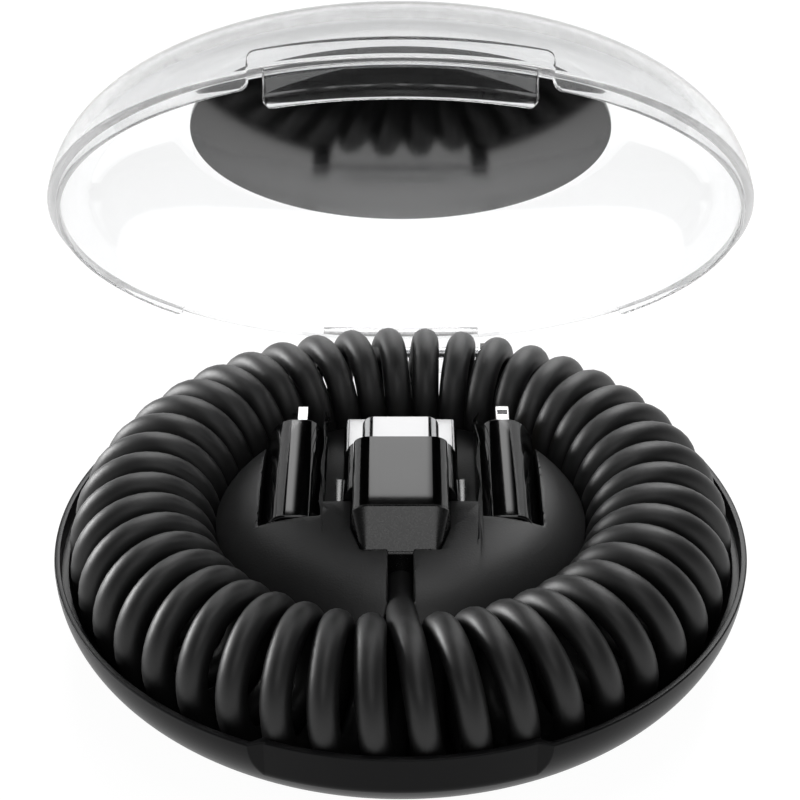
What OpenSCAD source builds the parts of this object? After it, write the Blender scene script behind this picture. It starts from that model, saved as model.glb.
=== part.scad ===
// Round travel case with a coiled charging cable, a double plug and two plug-on adapters.
// Millimetres. The origin is the middle of the flat foot, +Z is up, the latch faces -Y
// and the hinge faces +Y. Heights named zr are measured from the plane of the base's rim.

/* [Case] */
// Outer diameter of the base at its rim
case_d = 73.5; // [73:0.1:75]
// Height of the base's rim above the table
rim_z = 10.4; // [10.3:0.1:11]
// Opening angle of the lid at rest
lid_open = 51.41; // [0:0.01:100]
// Height of the closed lid's flat top above the rim plane
lid_top = 12; // [11.8:0.1:13]
// Thickness of the clear lid's wall
lid_wall = 1.35; // [1.2:0.05:1.4]
// Radius of the glossy disc under the lid's ceiling
disc_r = 22.45; // [18:0.05:23]

/* [Cable] */
// Diameter of the cable
cable_d = 3.1; // [2.8:0.05:3.1]
// Radius of the circle that the turns' centres follow
ring_r = 26.95; // [26.9:0.01:27]
// Outer radius of one turn
turn_r = 8.15; // [8:0.01:8.15]

/* [Cradle] */
// Radius of the cradle at its widest
cradle_r = 19.65; // [19.3:0.05:19.9]
// Height of the cradle's crown above the rim plane
cradle_top = 6.65; // [6.4:0.05:6.8]

/* [Plugs] */
// Width and height of the upper plug's metal shell
c_shell = [8.25, 2.4]; // [2:0.05:9]
// Width and height of the lower plug's metal shell
a_shell = [12, 4.5]; // [4:0.05:12]
// Width and height of the trapezoid plug's metal shell
micro_shell_size = [1.8, 6.85]; // [1.8:0.05:6.85]
// Thickness and height of the slim reversible blade
blade_size = [1.5, 6.7]; // [1.5:0.05:6.7]
// Height of both adapters' tops above the rim plane
adapter_top = 6.27; // [6.2:0.01:6.3]

/* [Hidden] */

$fn = 96;
eps = 0.01;
far = 60;

// Base bowl
bowl_a = case_d / 2;
bowl_b = 15.07;
bowl_shift = 0.265;
bowl_p = 2.3;
cavity_a = bowl_a - 1.35;
cavity_b = 13.6;
floor_z = 2;
foot_r = 27.5;
foot_edge = 0.35;
lip_r = bowl_a - 0.65;
ledge_depth = 1.7;
lip_edge = 0.1;

// Latch recess in the base's front
recess_half = 14.3;
recess_half_in = 12.85;
recess_depth = 4.2;
recess_r = 35.85;
catch_r_in = 35.2;
catch_drop = 0.2;

// Hinge
hinge_y = 38.2;
hinge_z = rim_z - 1;
pin_r = 0.6;
pin_play = 0.05;
barrel_r = 2.4;
barrel_half = 9.4;
ear_gap = 0.3;
ear_w = 2.3;
ear_r = 1.25;
notch_depth = 6;

// Lid
lid_a = 36.95;
lid_b = 15.59;
lid_shift = 1.47;
lid_p = 2.6;
lid_gap = 0.1;
ceiling = lid_top - 1.45;
disc_t = 0.6;
skirt_r_in = 35.45;
skirt_r_out = 35.95;
skirt_depth = 1.1;
skirt_start = 23.1;
skirt_end = 135;
tab_half = 12.4;
tab_depth = 3.7;
tab_r_in = 36.3;
tab_r_out = 36.95;
bead_r_in = 36.05;
bead_top = 2.2;
pad_half = 13.95;
pad_top = 2.4;
pad_r = 37.4;

// Cable
ring_z = rim_z - 0.15;
coil_r_in = 20.75;
cable_r = cable_d / 2;
tube_sides = 8;
// Route of the first lead, from the upper plug's relief over the cradle's slot to the coil
lead_start_route = [[0, -11.2, 12.3], [0, -12.5, 12.3], [0, -14, 12.55], [0, -15.5, 12.85],
                    [0, -17, 13.2], [0, -18.5, 13.7], [0, -19.7, 14.2], [0, -20.7, 14.8]];
// Route of the second lead, from the lower plug's relief down through the cradle to the coil
lead_end_route = [[0, -5.6, 12], [0, -5.6, 11], [0, -5.65, 9.8], [0, -6.1, 7.6], [0, -7.3, 5.7],
                  [0, -9.1, 4.3], [0, -11.2, 3.65], [0, -14, 3.6], [0, -17, 3.6],
                  [-0.1, -19.5, 3.6], [-0.2, -21.2, 3.6]];

// Cradle
cradle_edge = 1.9;
cradle_p = 4.6;
cradle_q = 0.85;
cradle_under = 12.5;
cradle_under_p = 1.75;
seat_play = 0.05;
step_y = -3.3;
recess_floor = 1.2;
seat_floor = 0.85;
seat_half = 6.1;
pocket_in = 8.3;
pocket_out = 14.8;
pocket_y = -5.7;
pocket_floor = -3.95;
slot_r = 1.7;
slot_zr = 2.85;
slot_lip = 1.27;
clip_x = [6.12, 6.62];
clip_y = [-3.2, 1.6];
clip_top = 6;

// Upper plug
up_top = 9.2;
up_bottom = 6.25;
up_half = 5;
up_flat = 3.28;
up_shoulder = 0.9;
up_y = [-7.7, 4.87];
c_zr = 6.55;
c_tip = 9.1;
c_y = 0.6;
c_wall = 0.3;
board_t = 0.8;
relief_end_y = -11.2;
relief_end_half = 4.05;
relief_end_top = 5.65;
relief_end_bottom = 0.3;
relief_slab = 0.3;

// Lower plug
low_half = 6.05;
low_bottom = 0.9;
low_y = [step_y + 0.05, 4.87];
a_zr = 1.35;
a_tip = 13.3;
a_y = -1.5;
a_wall = 0.32;
low_relief_y = -7.3;

// Adapters
adapter_x = 11.2;
adapter_flat = 0.74;
adapter_in = 8.38;
adapter_out = 14.7;
adapter_bottom = -3.9;
adapter_y = [-5.65, 12.7];
adapter_round = 0.4;
body_x = 11.54;
socket_zr = 1.2;
socket_depth = 6.4;
tip_y0 = 9.6;
micro_zr = 2.08;
micro_tip = 16.34;
blade_x = 11.28;
blade_zr = 2.65;
blade_tip = 16.6;

// Radius of a rounded wall at distance t from its widest plane
function oval_r(t, a, b, p) = a * pow(max(0, 1 - pow(t / b, p)), 1 / p);
function bowl_r(depth) = oval_r(depth + bowl_shift, bowl_a, bowl_b, bowl_p);
function cavity_r(depth) = oval_r(depth, cavity_a, cavity_b, bowl_p);
function lid_outer(zr) = oval_r(zr + lid_shift, lid_a, lid_b, lid_p);
function lid_inner(zr) = oval_r(zr + lid_shift, lid_a - lid_wall, lid_b - lid_wall - 0.05, lid_p);
function span(a, b, n) = [for (i = [0:n]) a + (b - a) * i / n];

// A solid extruded along X between x0 and x1, drawn in the Y-Z plane
module along_x(x0, x1) {
    translate([x0, 0, 0]) rotate([90, 0, 90]) linear_extrude(x1 - x0) children();
}

// A solid extruded along Y between y0 and y1, drawn in the X-Z plane
module along_y(y0, y1) {
    translate([0, y1, 0]) rotate([90, 0, 0]) linear_extrude(y1 - y0) children();
}

// A block between two corners
module block(low, high) {
    translate(low) cube(high - low);
}

// A flat ring sector cut from a full ring by vertical walls at x = -half and x = half
module front_arc(half) {
    intersection() {
        rotate_extrude() children();
        block([-half, -far, -far], [half, 0, far]);
    }
}

// A stadium: width w, height h, round ends
module stadium(w, h) {
    r = min(w, h) / 2;
    d = max(w, h) / 2 - r;
    turn = w > h ? 0 : 90;
    rotate(turn) {
        translate([-d, -r]) square([2 * d, 2 * r]);
        for (s = [-1, 1]) translate([s * d, 0]) circle(r);
    }
}

// A rectangle with rounded corners, centred
module soft_rect(w, h, r) {
    square([w - 2 * r, h], center = true);
    square([w, h - 2 * r], center = true);
    for (sx = [-1, 1], sy = [-1, 1])
        translate([sx * (w / 2 - r), sy * (h / 2 - r)]) circle(r, $fn = 32);
}

// A round tube of flat sides swept along a route of points
function unit(v) = v / norm(v);
function heading(route, i) =
    unit(route[min(i + 1, len(route) - 1)] - route[max(i - 1, 0)]);
function tube_ring(route, i, r) =
    let (t = heading(route, i), side = [1, 0, 0] - t * t[0], u = unit(side), v = cross(t, u))
    [for (k = [0:tube_sides - 1])
        route[i] + r * (u * cos(360 * k / tube_sides) + v * sin(360 * k / tube_sides))];
module tube(route, r) {
    n = len(route);
    points = [for (i = [0:n - 1]) each tube_ring(route, i, r)];
    sides = [for (i = [0:n - 2], k = [0:tube_sides - 1])
        let (a = i * tube_sides + k, b = i * tube_sides + (k + 1) % tube_sides)
        [a, b, b + tube_sides, a + tube_sides]];
    first = [for (k = [tube_sides - 1:-1:0]) k];
    last = [for (k = [0:tube_sides - 1]) (n - 1) * tube_sides + k];
    polyhedron(points, concat(sides, [first, last]), convexity = 4);
}

// Base: a turned bowl with a rim, a latch recess and two hinge ears
function bowl_outline() =
    concat([for (d = span(lip_edge, rim_z - foot_edge, 16)) [bowl_r(d), rim_z - d]], [[foot_r, 0]]);
module base_profile() {
    m = 12;
    inner = [for (d = span(rim_z - floor_z, ledge_depth, m)) [cavity_r(d), rim_z - d]];
    rim = [[lip_r, rim_z - ledge_depth], [lip_r, rim_z - lip_edge],
           [lip_r + lip_edge, rim_z], [bowl_a - 2 * lip_edge, rim_z]];
    polygon(concat([[0, 0], [0, floor_z]], inner, rim, bowl_outline()));
}

module latch_recess() {
    intersection() {
        translate([0, 0, rim_z - recess_depth]) linear_extrude(recess_depth + 1)
            polygon([[-recess_half, -far], [recess_half, -far], [recess_half, -33.6],
                     [recess_half_in, -32.6], [-recess_half_in, -32.6], [-recess_half, -33.6]]);
        difference() {
            cylinder(r = far, h = far);
            translate([0, 0, -1]) cylinder(r = recess_r, h = far + 2);
        }
    }
}

// The thin wall left behind the recess, which the lid's latch hangs against
module catch_wall() {
    depth = recess_depth + 1;
    front_arc(recess_half_in) intersection() {
        translate([catch_r_in, rim_z - depth]) square([recess_r - catch_r_in, depth - catch_drop]);
        polygon(concat([[0, 0], [0, rim_z]], bowl_outline()));
    }
}

module hinge_ear_profile() {
    translate([hinge_y, hinge_z]) circle(ear_r);
    polygon([[34.4, hinge_z - 2.6], [34.4, rim_z - 0.1], [37, rim_z - 0.1],
             [hinge_y, hinge_z + ear_r - 0.3], [hinge_y + 0.9, hinge_z - 0.6], [36.4, hinge_z - 2.2]]);
}

module base_shell() {
    ear_x = barrel_half + ear_gap;
    color("#161616") difference() {
        union() {
            difference() {
                rotate_extrude() base_profile();
                latch_recess();
                block([-ear_x, 33, rim_z - notch_depth], [ear_x, far, rim_z + 1]);
            }
            catch_wall();
            for (s = [0, 1]) mirror([s, 0, 0]) along_x(ear_x, ear_x + ear_w) hinge_ear_profile();
        }
        along_x(-far, far) translate([hinge_y, hinge_z]) circle(pin_r);
    }
}

module hinge_pin() {
    half = barrel_half + ear_gap + ear_w;
    color("silver") along_x(-half, half) translate([hinge_y, hinge_z]) circle(pin_r);
}

// Cradle: a turned mushroom with pockets for every plug and a slot for the cable
module cradle_profile() {
    n = 14;
    m = 10;
    top = [for (s = span(0, 1, n)) let (r = cradle_r * sin(90 * s))
        [r, rim_z + cradle_edge + (cradle_top - cradle_edge)
            * pow(max(0, 1 - pow(r / cradle_r, cradle_p)), cradle_q)]];
    under = [for (d = span(0.8, rim_z + cradle_edge - floor_z, m))
        [oval_r(d, cradle_r, cradle_under, cradle_under_p), rim_z + cradle_edge - d]];
    polygon(concat(top, under, [[0, floor_z]]));
}

// Plan of the seat round the upper plug's relief, a little wider all round
module relief_seat() {
    right = [[up_half + seat_play, up_y[0] + eps], [up_half + seat_play, up_y[0] - relief_slab],
             [relief_end_half + seat_play, relief_end_y - seat_play]];
    left = [for (i = [len(right) - 1:-1:0]) [-right[i][0], right[i][1]]];
    polygon(concat(right, left));
}

module plug_seats() {
    block([-pocket_in, step_y, rim_z + recess_floor], [pocket_in, far, far]);
    block([-seat_half, step_y, rim_z + seat_floor], [seat_half, far, far]);
    block([-up_half - seat_play, up_y[0], rim_z + up_bottom - seat_play], [up_half + seat_play, 0, far]);
    translate([0, 0, rim_z + relief_end_bottom - 0.1]) linear_extrude(far) relief_seat();
    block([-3.3, up_y[0], rim_z + 1.25], [3.3, 0, far]);
    for (s = [0, 1]) mirror([s, 0, 0])
        block([pocket_in, pocket_y, rim_z + pocket_floor], [pocket_out, far, far]);
}

module cable_slot() {
    block([-slot_r, -far, 0], [slot_r, -3.85, rim_z + 1.3]);
    along_y(-far, relief_end_y) {
        translate([0, rim_z + slot_zr]) circle(slot_r);
        translate([-slot_r, 0]) square([2 * slot_r, rim_z + slot_zr]);
        translate([-slot_lip, rim_z]) square([2 * slot_lip, far]);
    }
}

module cable_cradle() {
    color("#242424") {
        difference() {
            rotate_extrude() cradle_profile();
            plug_seats();
            cable_slot();
        }
        for (s = [0, 1]) mirror([s, 0, 0]) along_y(clip_y[0] - 0.2, clip_y[1])
            translate([clip_x[0], rim_z + recess_floor - 0.2])
            square([clip_x[1] - clip_x[0], clip_top - recess_floor + 0.2]);
    }
}

// Shoulders of a moulded housing: a quarter oval from the top flat down to a side
function shoulder(x0, x1, z_top, drop, n = 8) =
    [for (a = span(90, 0, n)) [x0 + (x1 - x0) * cos(a), z_top - drop * (1 - sin(a))]];

// Upper plug: a thin reversible plug lying on top of the lower one
module upper_plug_section() {
    right = shoulder(up_flat, up_half, up_top, up_shoulder);
    left = [for (i = [len(right) - 1:-1:0]) [-right[i][0], right[i][1]]];
    translate([0, rim_z]) polygon(concat(left, right, [[up_half, up_bottom], [-up_half, up_bottom]]));
}

module upper_plug_housing() {
    color("#101010") difference() {
        along_y(up_y[0], up_y[1]) upper_plug_section();
        along_y(c_y, far) translate([0, rim_z + c_zr + c_shell[1] / 2]) stadium(c_shell[0], c_shell[1]);
        block([-4.1, -5.6, rim_z + 6.7], [4.1, c_y + eps, rim_z + 8.7]);
    }
}

module upper_plug_board() {
    color("darkgreen")
        block([-3.9, -5.4, rim_z + c_zr + 0.8], [3.9, c_y - 0.05, rim_z + c_zr + 0.8 + board_t]);
}

module upper_plug_shell() {
    color("gainsboro") along_y(c_y, c_tip) translate([0, rim_z + c_zr + c_shell[1] / 2]) difference() {
        stadium(c_shell[0], c_shell[1]);
        stadium(c_shell[0] - 2 * c_wall, c_shell[1] - 2 * c_wall);
    }
}

module upper_plug_insulator() {
    color("#1c1c1c") difference() {
        along_y(c_y, c_tip - 0.25) translate([0, rim_z + c_zr + c_shell[1] / 2])
            stadium(c_shell[0] - 2 * c_wall, c_shell[1] - 2 * c_wall);
        block([-3.42, c_y + 2, rim_z + c_zr + 0.65], [3.42, far, rim_z + c_zr + 1.75]);
    }
}

module upper_plug_contacts() {
    pitch = 0.5;
    color("gold") for (i = [-5.5:1:5.5], side = [0, 1])
        translate([i * pitch - 0.12, c_y + 2, rim_z + c_zr + 0.65 + side * 1])
            cube([0.24, 5.2, 0.1]);
}

module upper_plug_relief() {
    color("#262626") hull() {
        along_y(up_y[0] - relief_slab, up_y[0]) {
            intersection() {
                upper_plug_section();
                translate([-far, rim_z + 2]) square([2 * far, far]);
            }
            translate([-up_half, rim_z + 3]) square([2 * up_half, 4]);
        }
        along_y(relief_end_y, relief_end_y + relief_slab)
            translate([0, rim_z + (relief_end_top + relief_end_bottom) / 2])
            soft_rect(2 * relief_end_half, relief_end_top - relief_end_bottom, 0.6);
    }
}

// Lower plug: a full-size flat plug whose housing cradles the upper one
module lower_plug_section() {
    side = [[up_half, 8.3], [5.6, 7.6], [5.9, 7], [6, 6.7], [low_half, 6.2], [low_half, low_bottom + 0.5],
            [low_half - 0.5, low_bottom]];
    left = [for (i = [len(side) - 1:-1:0]) [-side[i][0], side[i][1]]];
    translate([0, rim_z]) difference() {
        polygon(concat(left, side));
        translate([-up_half - 0.03, up_bottom - 0.03]) square([2 * up_half + 0.06, 4]);
    }
}

module lower_plug_housing() {
    color("#101010") difference() {
        along_y(low_y[0], low_y[1]) lower_plug_section();
        along_y(a_y, far) translate([0, rim_z + a_zr + a_shell[1] / 2])
            soft_rect(a_shell[0], a_shell[1], 0.4);
    }
}

module lower_plug_shell() {
    color("gainsboro") difference() {
        along_y(a_y, a_tip) translate([0, rim_z + a_zr + a_shell[1] / 2]) difference() {
            soft_rect(a_shell[0], a_shell[1], 0.4);
            square([a_shell[0] - 2 * a_wall, a_shell[1] - 2 * a_wall], center = true);
        }
        for (s = [-1, 1]) block([s * 2.8 - 1.15, 8.2, 0], [s * 2.8 + 1.15, 10.2, far]);
    }
}

module lower_plug_insulator() {
    half = a_shell[0] / 2 - a_wall;
    low = rim_z + a_zr + a_wall;
    high = rim_z + a_zr + a_shell[1] - a_wall;
    color("#e8e8e8") {
        block([-half, a_y, low], [half, a_y + 2.6, high]);
        block([-half, a_y + 2.6, low], [half, a_tip - 0.6, low + 1.7]);
    }
}

module lower_plug_contacts() {
    color("gold") for (x = [-3.5, -1, 1, 3.5])
        block([x - 0.5, a_y + 2.6, rim_z + a_zr + a_wall + 1.7],
              [x + 0.5, a_tip - 1.6, rim_z + a_zr + a_wall + 1.9]);
}

module lower_plug_relief() {
    color("#262626") along_y(low_relief_y, low_y[0])
        translate([0, rim_z + 3.6]) soft_rect(5.8, 4, 0.6);
}

// Adapters: two plug-on adapters standing on edge, mirrored left and right
module adapter_section() {
    outer = shoulder(adapter_x + adapter_flat, adapter_out, adapter_top, 4);
    inner = shoulder(adapter_x - adapter_flat, adapter_in, adapter_top, 2.6);
    back = [for (i = [len(inner) - 1:-1:0]) inner[i]];
    low = [[adapter_out, adapter_bottom + 1], [adapter_out - 1, adapter_bottom],
           [adapter_in + 1, adapter_bottom], [adapter_in, adapter_bottom + 1]];
    translate([0, rim_z]) polygon(concat(back, outer, low));
}

module adapter_side_view() {
    w = adapter_y[1] - adapter_y[0];
    h = adapter_top - adapter_bottom;
    translate([adapter_y[0] + w / 2, rim_z + adapter_bottom + h / 2]) soft_rect(w, h, adapter_round);
}

module adapter_housing() {
    difference() {
        intersection() {
            along_y(adapter_y[0], adapter_y[1]) adapter_section();
            along_x(adapter_in - 1, adapter_out + 1) adapter_side_view();
        }
        along_y(-far, adapter_y[0] + socket_depth) translate([body_x, rim_z + socket_zr])
            stadium(3.16, 8.94);
        block([body_x - 1.9, adapter_y[0] + socket_depth - eps, rim_z - 2.6],
              [body_x + 1.9, tip_y0 + eps, rim_z + 5]);
    }
}

module adapter_socket() {
    color("silver") difference() {
        along_y(adapter_y[0] + 0.1, adapter_y[0] + socket_depth) translate([body_x, rim_z + socket_zr])
            stadium(3.16, 8.94);
        along_y(adapter_y[0], adapter_y[0] + socket_depth - 0.6)
            translate([body_x, rim_z + socket_zr]) stadium(2.56, 8.34);
    }
}

module adapter_tongue() {
    color("#1c1c1c") block([body_x - 0.35, adapter_y[0] + 1.1, rim_z + socket_zr - 3.35],
                           [body_x + 0.35, adapter_y[0] + socket_depth - 0.6, rim_z + socket_zr + 3.35]);
}

module adapter_board() {
    color("darkgreen") block([body_x - board_t / 2, adapter_y[0] + socket_depth, rim_z - 2.2],
                             [body_x + board_t / 2, tip_y0 - 0.2, rim_z + 4.6]);
}

// Outline of the trapezoid plug, standing on its narrow edge, with bevels on its outer side
function trapezoid(grow) = let (w = micro_shell_size[0] / 2 + grow, h = micro_shell_size[1] / 2 + grow)
    [[-w, -h], [w - 0.7, -h], [w, -h + 0.9], [w, h - 0.9], [w - 0.7, h], [-w, h]];

module left_adapter_housing() {
    color("#101010") mirror([1, 0, 0]) difference() {
        adapter_housing();
        along_y(tip_y0, far) translate([adapter_x, rim_z + micro_zr]) polygon(trapezoid(0));
    }
}

module left_adapter_shell() {
    color("gainsboro") mirror([1, 0, 0]) difference() {
        along_y(tip_y0, micro_tip) translate([adapter_x, rim_z + micro_zr]) polygon(trapezoid(0));
        along_y(tip_y0 - 1, far) translate([adapter_x, rim_z + micro_zr]) polygon(trapezoid(-0.25));
        for (s = [-1, 1]) block([adapter_x - 2, micro_tip - 3.2, rim_z + micro_zr + s * 2.2 - 0.3],
                                [adapter_x, micro_tip - 1.6, rim_z + micro_zr + s * 2.2 + 0.3]);
    }
}

module left_adapter_insulator() {
    color("#1c1c1c") mirror([1, 0, 0]) {
        along_y(tip_y0, tip_y0 + 2) translate([adapter_x, rim_z + micro_zr]) polygon(trapezoid(-0.25));
        block([adapter_x - 0.1, tip_y0 + 2, rim_z + micro_zr - 2.4],
              [adapter_x + 0.45, micro_tip - 0.5, rim_z + micro_zr + 2.4]);
    }
}

module left_adapter_contacts() {
    color("gold") mirror([1, 0, 0]) for (i = [-2:2])
        block([adapter_x - 0.2, tip_y0 + 2, rim_z + micro_zr + i * 0.65 - 0.15],
              [adapter_x - 0.1, micro_tip - 0.9, rim_z + micro_zr + i * 0.65 + 0.15]);
}

// Two sprung catches that stand through the windows in the shell's flat side
module left_adapter_latches() {
    color("silver") mirror([1, 0, 0]) for (s = [-1, 1])
        along_x_catch(rim_z + micro_zr + s * 2.2);
}

module along_x_catch(z) {
    translate([adapter_x, 0, z - 0.2]) linear_extrude(0.4)
        polygon([[-0.6, tip_y0 + 2], [-0.45, tip_y0 + 2], [-0.45, micro_tip - 1.7],
                 [-0.95, micro_tip - 2.2], [-0.95, micro_tip - 2.6], [-0.6, micro_tip - 3]]);
}

module right_adapter_housing() {
    color("#101010") difference() {
        adapter_housing();
        along_y(tip_y0, far) translate([blade_x, rim_z + blade_zr])
            square([blade_size[0], blade_size[1]], center = true);
    }
}

// Slim blade: a metal frame with round corners and a shallow bed for contacts on each face
module right_adapter_blade() {
    bed = 0.15;
    y_bed = blade_tip - 4.4;
    color("gainsboro") difference() {
        along_x(blade_x - blade_size[0] / 2, blade_x + blade_size[0] / 2) {
            translate([(tip_y0 + blade_tip) / 2 + 0.8, rim_z + blade_zr])
                soft_rect(blade_tip - tip_y0 - 1.6, blade_size[1], 1.2);
            translate([tip_y0, rim_z + blade_zr - blade_size[1] / 2]) square([3, blade_size[1]]);
        }
        for (s = [-1, 1]) {
            face = blade_x + s * blade_size[0] / 2;
            block([face - bed, y_bed, rim_z + blade_zr - 2.6], [face + bed, y_bed + 3.4, rim_z + blade_zr + 2.6]);
            translate([blade_x, blade_tip - 2.6, rim_z + blade_zr + s * blade_size[1] / 2]) rotate([0, 90, 0])
                cylinder(r = 0.35, h = 4, center = true);
        }
    }
}

module right_adapter_contacts() {
    y_bed = blade_tip - 4.4;
    color("gold") for (i = [-3.5:1:3.5], s = [-1, 1])
        block([blade_x + (s > 0 ? 0.6 : -0.72), y_bed + 0.3, rim_z + blade_zr + i * 0.62 - 0.22],
              [blade_x + (s > 0 ? 0.72 : -0.6), y_bed + 3.1, rim_z + blade_zr + i * 0.62 + 0.22]);
}

module left_adapter_socket() {
    mirror([1, 0, 0]) adapter_socket();
}

module left_adapter_tongue() {
    mirror([1, 0, 0]) adapter_tongue();
}

module left_adapter_board() {
    mirror([1, 0, 0]) adapter_board();
}

module right_adapter_socket() {
    adapter_socket();
}

module right_adapter_tongue() {
    adapter_tongue();
}

module right_adapter_board() {
    adapter_board();
}

// Cable: the outer shape of the wound ring, and the two leads to the plugs
module cable_coil() {
    color("#1e1e1e") rotate_extrude() intersection() {
        translate([ring_r, ring_z]) circle(turn_r);
        translate([coil_r_in, 0]) square([far, far]);
    }
}

module cable_lead_start() {
    color("#1e1e1e") tube(lead_start_route, cable_r);
}

module cable_lead_end() {
    color("#1e1e1e") tube(lead_end_route, cable_r);
}

// Lid: drawn closed, then turned about the hinge pin to its resting angle
module opened() {
    translate([0, hinge_y, hinge_z]) rotate([-lid_open, 0, 0]) translate([0, -hinge_y, -hinge_z])
        children();
}

module lid_profile() {
    n = 16;
    outer = [for (z = span(lid_gap, lid_top, n)) [lid_outer(z), rim_z + z]];
    inner = [for (z = span(ceiling, lid_gap, n)) [lid_inner(z), rim_z + z]];
    polygon(concat(outer, [[0, rim_z + lid_top], [0, rim_z + ceiling]], inner));
}

module lid_cavity_profile() {
    inner = [for (z = span(ceiling, lid_gap, 16)) [lid_inner(z), rim_z + z]];
    polygon(concat([[0, rim_z - 5], [0, rim_z + ceiling]], inner, [[lid_inner(lid_gap), rim_z - 5]]));
}

// Skirt: two thin arcs that drop inside the base's lip, with rounded ends
module lid_skirt() {
    mid = (skirt_r_in + skirt_r_out) / 2;
    ends = [skirt_start, skirt_end];
    for (s = [0, 1]) mirror([s, 0, 0]) intersection() {
        translate([0, 0, rim_z - skirt_depth]) rotate_extrude()
            translate([skirt_r_in, 0]) square([skirt_r_out - skirt_r_in, skirt_depth + 0.6]);
        union() {
            linear_extrude(far) polygon(concat([[0, 0]],
                [for (a = span(ends[0], ends[1], 4)) far * [sin(a), -cos(a)]]));
            for (a = ends) rotate([0, 0, a - 90]) translate([mid, 0, rim_z + 0.1]) rotate([0, 90, 0])
                cylinder(r = skirt_depth + 0.1, h = 4, center = true);
        }
    }
}

// Latch: a tab with a hooked bead that hangs in the base's recess, and a raised finger pad
module lid_latch() {
    front_arc(tab_half) polygon([[tab_r_in, rim_z + 0.4], [tab_r_out, rim_z + 0.4],
        [tab_r_out, rim_z - tab_depth + 0.3], [tab_r_out - 0.3, rim_z - tab_depth],
        [bead_r_in + 0.2, rim_z - tab_depth], [bead_r_in, rim_z - tab_depth + 0.3],
        [bead_r_in, rim_z - bead_top - 0.3], [tab_r_in, rim_z - bead_top]]);
    front_arc(pad_half) polygon([[36, rim_z + lid_gap], [pad_r - 0.2, rim_z + lid_gap],
        [pad_r, rim_z + 0.4], [pad_r, rim_z + 1.4], [pad_r - 0.3, rim_z + 2.1], [36.4, rim_z + pad_top],
        [35.9, rim_z + pad_top]]);
}

module lid_hinge() {
    difference() {
        along_x(-barrel_half, barrel_half) {
            translate([hinge_y, hinge_z]) circle(barrel_r);
            polygon([[33.5, rim_z + lid_gap], [33.5, rim_z + 3.2], [36.4, rim_z + 3.2],
                     [38.9, rim_z + 1.2], [38.2, rim_z - 1], [36.2, rim_z + lid_gap]]);
        }
        rotate_extrude() lid_cavity_profile();
    }
}

module lid_dome() {
    color("#dfe6ea55") opened() difference() {
        union() {
            rotate_extrude() lid_profile();
            lid_skirt();
            lid_latch();
            lid_hinge();
        }
        along_x(-far, far) translate([hinge_y, hinge_z]) circle(pin_r + pin_play);
    }
}

module lid_disc() {
    edge = 0.15;
    low = rim_z + ceiling - disc_t;
    color("#0c0c0c") opened() rotate_extrude()
        polygon([[0, low], [disc_r - edge, low], [disc_r, low + edge], [disc_r, low + disc_t],
                 [0, low + disc_t]]);
}

base_shell();
hinge_pin();
cable_cradle();
upper_plug_shell();
upper_plug_insulator();
upper_plug_contacts();
upper_plug_board();
upper_plug_housing();
upper_plug_relief();
lower_plug_shell();
lower_plug_insulator();
lower_plug_contacts();
lower_plug_housing();
lower_plug_relief();
left_adapter_housing();
left_adapter_shell();
left_adapter_insulator();
left_adapter_contacts();
left_adapter_latches();
left_adapter_board();
left_adapter_socket();
left_adapter_tongue();
right_adapter_housing();
right_adapter_blade();
right_adapter_contacts();
right_adapter_board();
right_adapter_socket();
right_adapter_tongue();
cable_coil();
cable_lead_start();
cable_lead_end();
lid_dome();
lid_disc();
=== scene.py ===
# %% [markdown]
# A coiled charging cable lives in a round travel case: a dark bowl, a clear lid on a hinge,
# and a soft black cradle that holds a double plug and two plug-on adapters.
# The solids of the working model are loaded first and never moved. Every surface made below
# is laid over them in the same frame, in metres, with +Z up and the latch facing -Y.

# %% Load the frame
import math
import bmesh
import bpy
import numpy as np
from mathutils import Matrix, Vector


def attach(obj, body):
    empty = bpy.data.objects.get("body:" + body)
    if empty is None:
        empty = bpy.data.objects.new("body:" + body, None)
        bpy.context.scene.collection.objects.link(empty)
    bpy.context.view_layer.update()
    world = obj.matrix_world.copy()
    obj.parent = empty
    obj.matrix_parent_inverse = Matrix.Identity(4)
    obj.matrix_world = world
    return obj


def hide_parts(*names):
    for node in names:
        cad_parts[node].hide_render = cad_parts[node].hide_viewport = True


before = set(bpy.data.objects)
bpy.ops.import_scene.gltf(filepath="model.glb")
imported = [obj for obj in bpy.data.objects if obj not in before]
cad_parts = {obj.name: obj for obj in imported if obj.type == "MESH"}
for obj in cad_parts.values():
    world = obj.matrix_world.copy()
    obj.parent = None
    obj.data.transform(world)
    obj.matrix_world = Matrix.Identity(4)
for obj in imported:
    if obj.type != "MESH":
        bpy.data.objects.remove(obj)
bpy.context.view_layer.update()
MM = 0.001
print("nodes loaded:", len(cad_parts))

# %% [markdown]
# The picture was taken with a long lens from above the front edge. The focal length is known
# in pixels of an 800 pixel frame, so the lens follows from the sensor width. The case stands
# with its foot on the floor and the camera looks down at it by a little under 33 degrees.

# %% Camera
FRAME_PX = 800
FOCAL_PX = 2200
SENSOR_MM = 36
CAMERA_Y = -0.19010
CAMERA_Z = 0.14989
CAMERA_PITCH = 32.82
AXIS_SHIFT = -0.00075

camera_data = bpy.data.cameras.new("camera")
camera_data.sensor_width = SENSOR_MM
camera_data.lens = FOCAL_PX / FRAME_PX * SENSOR_MM
camera_data.shift_x = AXIS_SHIFT
camera_data.clip_start = 0.01
camera = bpy.data.objects.new("camera", camera_data)
camera.location = (0, CAMERA_Y, CAMERA_Z)
camera.rotation_euler = (math.radians(90 - CAMERA_PITCH), 0, 0)
bpy.context.scene.collection.objects.link(camera)
bpy.context.scene.camera = camera
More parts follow.
